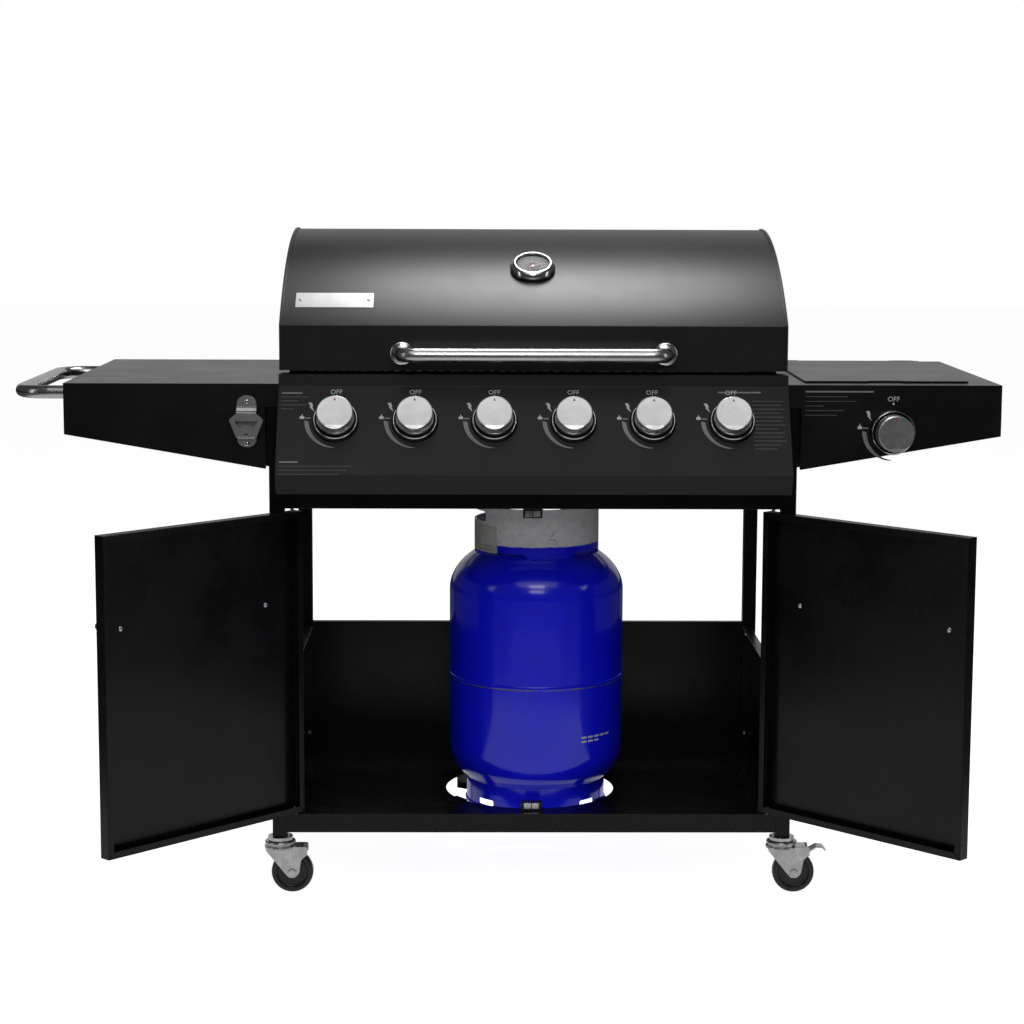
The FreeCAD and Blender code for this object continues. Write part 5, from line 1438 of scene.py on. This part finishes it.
    def build_badge(self) -> None:
        """Bend the blank name plate to the roof and set its two rivets."""
        (x0, x1), (cy, top) = self.badge_x, self.crest
        slope = math.asin((cy - self.badge_y) / self.radius)
        span = self.badge_half / self.radius
        start = slope + span
        plate = Blank.wire((x0, cy - (self.radius + 0.9) * math.sin(start),
                            top - self.radius + (self.radius + 0.9) * math.cos(start)))
        plate.arc((x0, cy, top - self.radius), (-1.0, 0.0, 0.0), math.degrees(2 * span), 10)
        plate.pulled((x1 - x0, 0.0, 0.0))
        highest = max(plate.bm.faces, key=lambda f: f.calc_center_median().z)
        plate.thick(0.8, flip=highest.normal.z < 0).soften(0.35, 30.0)
        piece = Piece("badge_plate").add(Finishes.pressed, plate)
        out = Vector((0.0, -math.sin(slope), math.cos(slope)))
        seat = Vector((0.0, cy, top - self.radius)) + out * (self.radius + 0.8)
        for x in (x0 + 8.0, x1 - 8.0):
            rivet = Blank.turned([(2.6, 0.0), (2.5, 0.8), (1.9, 1.4), (1.0, 1.75), (0.0, 1.85)], 24)
            piece.add(Finishes.chrome, rivet.aimed(seat + Vector((x, 0.0, 0.0)), out))
        piece.place("hood", "badge")


# --------------------------------------------------------------------------- doors
@dataclass
class Doors:
    """The two folded doors, drawn closed on the left and then swung and mirrored."""

    open: float = 134.0
    outer: float = 407.5
    inner: float = 1.5
    low: float = 139.5
    high: float = 648.0
    depth: float = 20.0
    lip: float = 11.0
    pin: tuple[float, float] = (397.0, 6.0)
    handle_z: float = 497.0
    posts: tuple[float, float] = (55.0, 350.0)

    def swing(self, blank: Blank, right: bool) -> Blank:
        """Swing a closed left door's part open, and mirror it for the right door."""
        blank.spun((-self.pin[0], self.pin[1], 0.0), (0.0, 0.0, 1.0), -self.open)
        return blank.mirrored() if right else blank

    def build(self) -> None:
        """Make both doors and their handles."""
        for right in (False, True):
            side = "right" if right else "left"
            self.build_pan(side, right)
            self.build_handle(side, right)

    def build_pan(self, side: str, right: bool) -> None:
        """Fold one door: front sheet, four sides and four lips with mitred corners.

        Args:
            side: the door's name.
            right: whether it is the right-hand one.
        """
        x0, x1, z0, z1, t = -self.outer, -self.inner, self.low, self.high, 1.2
        d, lip, gap = self.depth, self.lip, 0.35
        tray = Blank.block((x0, 0.0, z0), (x1, d, z1))
        back = [f for f in tray.bm.faces if f.normal.y > 0.9]
        bmesh.ops.delete(tray.bm, geom=back, context="FACES_ONLY")
        tray.thick(t).soften(1.0, 40.0, 3)
        piece = Piece(f"door_{side}_pan").add(Finishes.door_paint, self.swing(tray, right))
        corners = [(x0 + t, z0 + t), (x1 - t, z0 + t), (x1 - t, z1 - t), (x0 + t, z1 - t)]
        middle = Vector(((x0 + x1) / 2, (z0 + z1) / 2))
        for index, corner in enumerate(corners):
            after = corners[(index + 1) % 4]
            a, b = Vector(corner), Vector(after)
            along = (b - a).normalized()
            inward = Vector((-along.y, along.x))
            if (middle - a).dot(inward) < 0:
                inward = -inward
            deep = lip - t
            strip = [a + along * gap, b - along * gap, b - along * (deep + gap) + inward * deep,
                     a + along * (deep + gap) + inward * deep]
            flange = Blank.outline(Plane.XZ, [tuple(p) for p in strip], d - t)
            flange.pulled((0.0, t, 0.0)).soften(0.35)
            piece.add(Finishes.door_paint, self.swing(flange, right))
        piece.place(f"{side}_door", f"door_{side}")

    def build_handle(self, side: str, right: bool) -> None:
        """Make one door's bar, its posts with small collars, and the screws inside the door.

        Args:
            side: the door's name.
            right: whether it is the right-hand one.
        """
        start, y, z = -self.pin[0], -38.0, self.handle_z
        near, far = (start + s for s in self.posts)
        bar = rod((near - 16.0, y, z), (1.0, 0.0, 0.0), 6.0, far - near + 32.0, 1.2)
        piece = Piece(f"door_handle_{side}_bar").add(Finishes.stainless_z, self.swing(bar, right))
        for x in (near, far):
            post = Blank.turned([(0.0, 0.0), (7.0, 0.0), (7.0, 1.2), (5.2, 2.4), (4.5, 4.0), (4.5, 36.0),
                                 (0.0, 36.0)], 32).aimed((x, 0.0, z), (0.0, -1.0, 0.0))
            head = Blank.turned([(0.0, 0.0), (4.6, 0.0), (4.5, 0.9), (3.8, 1.9), (2.2, 2.5), (1.2, 2.6),
                                 (1.0, 1.6), (0.0, 1.5)], 24).aimed((x, 1.2, z), (0.0, 1.0, 0.0))
            piece.add(Finishes.chrome, self.swing(post, right))
            piece.add(Finishes.zinc, self.swing(head, right))
        piece.place(f"{side}_door", f"door_handle_{side}")


# --------------------------------------------------------------------------- bottle
@dataclass
class GasBottle:
    """Steel gas bottle: body with its weld, foot ring, slotted collar, label and valve."""

    x: float = 10.0
    y: float = 185.0
    radius: float = 150.0
    low: float = 217.0
    high: float = 490.0
    dome_low: float = 92.0
    dome_high: float = 94.0
    seam: tuple[float, float] = (339.0, 344.0)
    foot_r: float = 120.0
    foot: tuple[float, float] = (118.3, 170.0)
    collar_r: float = 107.0
    collar: tuple[float, float, float] = (552.0, 563.0, 639.6)

    def build(self) -> None:
        """Make the bottle and what is on it."""
        body = Blank.turned(self.body_line(), 160)
        boss = Blank.turned([(22.0, 579.0), (22.0, 587.2), (21.2, 588.0), (0.0, 588.0), (0.0, 579.0),
                             (22.0, 579.0)])
        piece = Piece("gas_bottle_body").add(Finishes.bottle, *(self.stood(part) for part in (
            body, boss, self.foot_ring(), self.foot_hem(), self.guard())))
        self.add_label(piece)
        piece.place("bottle", "gas_bottle")
        dress_node("bottle_valve", Finishes.brass, "bottle", 0.5)

    def stood(self, blank: Blank) -> Blank:
        """Put a part that was made about the Z axis where the bottle stands."""
        return blank.shifted((self.x, self.y, 0.0))

    def body_line(self) -> list[tuple[float, float]]:
        """Give the body's side line, from the middle of its floor to the middle of its dome.

        Returns:
            (radius, height) corners.
        """
        r, steps = self.radius, 24
        turns = [math.pi / 2 * index / steps for index in range(steps + 1)]
        floor = [(r * math.sin(turn), self.low - self.dome_low * math.cos(turn)) for turn in turns]
        dome = [(r * math.cos(turn), self.high + self.dome_high * math.sin(turn)) for turn in turns]
        low, high = self.seam
        bead = [(r, low - 2.0), (r + 0.9, low - 1.2), (r + 1.5, low + 0.6), (r + 1.5, high - 0.6),
                (r + 0.9, high + 1.2), (r, high + 2.0)]
        return floor + bead + dome

    @staticmethod
    def window(radius: float, left: float, right: float, low: float, high: float,
               corner: float = 3.0) -> Blank:
        """Draw a rounded window on a sheet that is still flat.

        Args:
            radius: that the sheet is going to be rolled to.
            left: its left side, in degrees from the front.
            right: its right side.
            low: its lower edge.
            high: its upper edge.
            corner: rounding of its corners.

        Returns:
            The window.
        """
        a, b = (radius * math.radians(side) for side in (left, right))
        return Blank.outline(Plane.XZ, [(a, low), (b, low), (b, high), (a, high)]).rounded(corner)

    def foot_ring(self) -> Blank:
        """Roll the foot ring with its four drain windows."""
        r, (low, high) = self.foot_r, self.foot
        wall = self.window(r, -180.0, 180.0, low, high, 0.001)
        holes = [self.window(r, side - 9.0, side + 9.0, low + 6.0, low + 17.0)
                 for side in (-133.0, -47.0, 47.0, 133.0)]
        return wall.pierced(*holes).wrapped(r).thick(3.0).soften(0.5, 40.0)

    def foot_hem(self) -> Blank:
        """Turn the hem that the foot ring stands on."""
        r, z = self.foot_r, self.foot[0]
        return Blank.turned([(r - 3.0, z), (r + 1.6, z), (r + 2.2, z + 0.8), (r + 2.2, z + 3.6),
                             (r + 1.4, z + 4.8), (r - 0.5, z + 5.2), (r - 3.0, z + 5.2), (r - 3.0, z)], 128)

    def guard(self) -> Blank:
        """Roll the valve guard: four feet on the dome, a hand slot and the gate behind the valve."""
        r, (foot, arch, top) = self.collar_r, self.collar
        line = [(-214.0, arch)]
        for middle in (-169.0, -79.0, 11.0, 101.0):
            line += [(middle - 24.0, arch), (middle - 20.5, arch - 6.0), (middle - 20.0, foot),
                     (middle + 20.0, foot), (middle + 20.5, arch - 6.0), (middle + 24.0, arch)]
        line += [(146.0, arch), (146.0, top), (-155.0, top), (-155.0, 602.0), (-205.0, 602.0), (-205.0, top),
                 (-214.0, top)]
        wall = Blank.outline(Plane.XZ, [(r * math.radians(side), z) for side, z in line])
        slot = self.window(r, -128.0, -55.0, 613.0, 631.0, 7.0)
        return wall.pierced(slot).wrapped(r).thick(3.0).soften(0.7, 40.0)

    def add_label(self, piece: Piece) -> None:
        """Stick the paper label on the guard and print its lines and the lines low on the body.

        Args:
            piece: the bottle.
        """
        r = self.collar_r
        paper = self.window(r, -86.0, -40.0, 562.0, 607.0, 1.5).wrapped(r + 0.35, 144).thick(0.3)
        piece.add(Finishes.label, self.stood(paper))
        for row in range(7):
            left, right = (-84.0, -66.0 - row % 3) if row < 5 else (-84.0, -44.0)
            line = self.window(r, left, right, 600.0 - 5.6 * row, 601.6 - 5.6 * row, 0.2)
            piece.add(Finishes.grey_print, self.stood(line.wrapped(r + 0.5, 144).thick(0.12)))
        for row, reach in enumerate((26.0, 15.0)):
            for word in range(int(reach / 5.0)):
                left = 30.0 + 5.2 * word
                line = self.window(self.radius, left, left + 4.0, 252.0 - 7.0 * row, 255.4 - 7.0 * row, 0.3)
                piece.add(Finishes.label, self.stood(line.wrapped(self.radius + 0.12, 192).thick(0.1)))


# --------------------------------------------------------------------------- casters
class Corner(Enum):
    """The cart's four corners: x and y of the leg's middle line."""

    FRONT_LEFT = (-422.0, 14.0)
    FRONT_RIGHT = (422.0, 14.0)
    REAR_LEFT = (-408.0, 437.0)
    REAR_RIGHT = (408.0, 437.0)


@dataclass
class Casters:
    """Four swivel casters: zinc fork, black wheel, axle, and a pedal brake on one."""

    trail: float = 20.0
    wheel_r: float = 35.0
    wide: float = 24.0

    def build(self) -> None:
        """Dress the forks, turn the wheels and add the brake."""
        for corner in Corner:
            place = corner.name.lower()
            self.build_fork(place, *corner.value)
            self.build_wheel(place, *corner.value)
        dress_node("brake_pedal_front_right", Finishes.zinc, "brake_front_right", 0.8)

    def build_fork(self, place: str, x: float, y: float) -> None:
        """Turn the ball race and hang the bridge, the cheeks and the axle bolt from it.

        Args:
            place: the corner's name.
            x: middle of the leg.
            y: middle of the leg.
        """
        race = Blank.turned([(6.1, 76.0), (25.8, 76.0), (26.8, 76.8), (27.0, 78.6), (26.4, 80.2),
                             (23.6, 80.8), (22.8, 81.6), (22.8, 83.0), (24.4, 83.6), (25.6, 84.6),
                             (25.8, 86.6), (25.0, 88.2), (23.4, 89.0), (6.1, 89.0), (6.1, 76.0)], 64)
        race.shifted((x, y, 0.0))
        bridge = Blank.block((x - 18.0, y - 15.5, 77.2), (x + 40.0, y + 15.5, 80.0)).soften(0.9)
        piece = Piece("caster_fork_" + place + "_pressed").add(Finishes.zinc, race, bridge)
        axle = x + self.trail
        for side in (-1.0, 1.0):
            cheek = Blank.outline(Plane.XZ, [(x - 24.0, 80.0), (x - 24.0, 74.0), (axle - 11.0, 33.0),
                                             (axle - 5.0, 26.5), (axle + 5.0, 26.5), (axle + 12.0, 34.0),
                                             (x + 36.0, 58.0), (x + 46.0, 66.0), (x + 46.0, 80.0)],
                                  y + side * 14.0)
            cheek.rounded(3.2, 4).pulled((0.0, side * 2.0, 0.0)).soften(0.5, 40.0)
            nut = Blank.disc(7.6, 6).pulled((0.0, 0.0, 3.6)).soften(0.7, 40.0)
            nut.aimed((axle, y + side * 16.0, self.wheel_r), (0.0, side, 0.0))
            piece.add(Finishes.zinc, cheek, nut)
        bolt = rod((axle, y - 19.0, self.wheel_r), (0.0, 1.0, 0.0), 4.0, 38.0, 0.5)
        piece.add(Finishes.zinc, bolt).place("swivel_" + place, "caster_fork_" + place)

    def build_wheel(self, place: str, x: float, y: float) -> None:
        """Turn one wheel: crowned tread, recessed web, hub and bearing sleeve.

        Args:
            place: the corner's name.
            x: middle of the leg.
            y: middle of the leg.
        """
        r, w = self.wheel_r, self.wide / 2
        half = [(4.1, w), (9.0, w), (10.0, w - 1.0), (10.6, w - 5.0), (13.0, w - 6.4), (23.0, w - 6.4),
                (25.4, w - 5.0), (26.2, w - 2.0), (27.4, w - 1.0), (31.6, w - 0.8), (33.4, w - 1.8),
                (34.5, w - 4.0), (r, w - 7.5)]
        profile = half + [(radius, -height) for radius, height in reversed(half)]
        profile.append(half[0])
        wheel = Blank.turned(profile, 72)
        centre = (x + self.trail, y, r)
        piece = Piece("caster_wheel_" + place + "_turned")
        piece.add(Finishes.tyre, wheel.aimed(centre, (0.0, 1.0, 0.0)))
        piece.place("wheel_" + place, "caster_wheel_" + place)


# --------------------------------------------------------------------------- studio
@dataclass
class Studio:
    """Pale floor, soft lights and the camera."""

    eye: tuple[float, float, float] = (-79.6, -3838.7, 1175.3)
    pitch: float = 7.83
    yaw: float = 0.67
    roll: float = -0.21
    focal: float = 2354.0
    frame_size: float = 1024.0

    def build(self) -> None:
        """Set up the floor, the lights, the world and the camera."""
        self.build_camera()
        self.build_floor()
        self.build_world()
        self.area("roof_softbox", (90.0, 820.0, 3000.0), (60.0, 72.0, 1009.0), (850.0, 900.0), 28.5)
        self.area("front_top", (0.0, -1600.0, 2900.0), (0.0, -50.0, 790.0), (2600.0, 1800.0), 12.0)
        self.area("front_fill", (0.0, -3500.0, 3350.0), (0.0, 0.0, 700.0), (1500.0, 600.0), 16.0)
        self.area("front_soft", (0.0, -4300.0, 2450.0), (0.0, 0.0, 600.0), (1500.0, 700.0), 13.0)
        self.area("left_strip", (-3000.0, -1200.0, 1300.0), (0.0, 0.0, 500.0), (500.0, 2200.0), 4.0)
        self.area("right_strip", (3000.0, -1000.0, 1300.0), (0.0, 0.0, 500.0), (500.0, 2200.0), 5.0)
        self.area("back_wall", (0.0, 3600.0, 1700.0), (0.0, 0.0, 700.0), (5200.0, 2600.0), 18.0)

    def build_camera(self) -> None:
        """Stand the camera at the object's viewing angle."""
        yaw, pitch, roll = (math.radians(a) for a in (self.yaw, self.pitch, self.roll))
        ahead = Vector((math.sin(yaw) * math.cos(pitch), math.cos(yaw) * math.cos(pitch), -math.sin(pitch)))
        right = Vector((math.cos(yaw), -math.sin(yaw), 0.0))
        up = right.cross(ahead)
        turn = Matrix.Rotation(roll, 3, ahead)
        right, up = turn @ right, turn @ up
        data = bpy.data.cameras.new("camera")
        data.sensor_width = 36.0
        data.lens = 36.0 * self.focal / self.frame_size
        data.clip_start, data.clip_end = 0.1, 60.0
        camera = bpy.data.objects.new("camera", data)
        camera.matrix_world = (Matrix.Translation(DATUM.place(self.eye))
                               @ Matrix((right, up, -ahead)).transposed().to_4x4())
        bpy.context.scene.collection.objects.link(camera)
        bpy.context.scene.camera = camera

    def build_floor(self) -> None:
        """Lay the pale floor: bright to the camera, and a soft pool and a card of light to the object."""
        mesh = bpy.data.meshes.new("floor")
        bm = bmesh.new()
        bmesh.ops.create_grid(bm, x_segments=1, y_segments=1, size=20.0)
        bm.to_mesh(mesh)
        bm.free()
        floor = bpy.data.objects.new("floor", mesh)
        bpy.context.scene.collection.objects.link(floor)
        made, graph = empty_material("pale_floor")
        path = graph.add("LightPath")
        place = graph.add("TexCoord").outputs["Object"]
        away = graph.add("VectorMath", {0: place}, operation="LENGTH").outputs["Value"]
        near = graph.times(graph.minus(1.0, graph.ramp(away, 1.35, 1.75)), 0.5)
        ring = graph.times(graph.ramp(away, 1.9, 2.0), graph.minus(1.0, graph.ramp(away, 2.4, 2.5)))
        side = graph.math("ABSOLUTE", graph.add("SeparateXYZ", {0: place}).outputs[0])
        card = graph.times(ring, graph.minus(1.0, graph.ramp(side, 1.1, 1.3)))
        pool = graph.plus(near, graph.times(card, 0.18))
        camera = path.outputs["Is Camera Ray"]
        glow = graph.plus(graph.times(camera, 0.93), graph.times(graph.minus(1.0, camera), pool))
        shade = graph.blend(camera, (0.22, 0.22, 0.22, 1.0), (0.85, 0.85, 0.85, 1.0))
        shader = graph.add("BsdfPrincipled", {
            "Base Color": shade, "Roughness": 0.9, "Specular IOR Level": 0.0,
            "Emission Color": (1.0, 1.0, 1.0, 1.0), "Emission Strength": glow})
        graph.add("OutputMaterial", {"Surface": shader.outputs[0]})
        mesh.materials.append(made)

    def build_world(self) -> None:
        """Fill the room: white to the camera, dim to the object."""
        world = bpy.data.worlds.new("studio")
        world.use_nodes = True
        world.node_tree.nodes.clear()
        graph = Graph(world.node_tree)
        path = graph.add("LightPath")
        seen = graph.add("Background", {"Color": (1.0, 1.0, 1.0, 1.0), "Strength": 1.0})
        room = graph.add("Background", {"Color": (0.9, 0.95, 1.0, 1.0), "Strength": 0.06})
        mix = graph.add("MixShader", {0: path.outputs["Is Camera Ray"], 1: room.outputs[0],
                                      2: seen.outputs[0]})
        graph.add("OutputWorld", {"Surface": mix.outputs[0]})
        bpy.context.scene.world = world
        bpy.context.scene.view_settings.view_transform = "Standard"

    def area(self, name: str, at: Point, to: Point, size: tuple[float, float], power: float) -> None:
        """Hang one soft light.

        Args:
            name: its name.
            at: where it hangs, in the maker's millimetres.
            to: what it points at.
            size: width and height in millimetres.
            power: in watts.
        """
        data = bpy.data.lights.new(name, "AREA")
        data.shape, data.size, data.size_y, data.energy = "RECTANGLE", size[0] * MM, size[1] * MM, power
        lamp = bpy.data.objects.new(name, data)
        start, end = DATUM.place(at), DATUM.place(to)
        aim = (end - start).to_track_quat("-Z", "Y")
        lamp.matrix_world = Matrix.Translation(start) @ aim.to_matrix().to_4x4()
        lamp.visible_camera = False
        bpy.context.scene.collection.objects.link(lamp)


def main() -> None:
    """Build every class in order."""
    logging.basicConfig(level=logging.INFO, format="%(name)s %(message)s")
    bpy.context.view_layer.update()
    Studio().build()
    for part in (Cart(), Cooker(), ControlPanel(), SideShelves(), Hood(), Doors(), GasBottle(), Casters()):
        part.build()
        LOG.info("%s done", type(part).__name__)


if __name__ == "__main__":
    main()
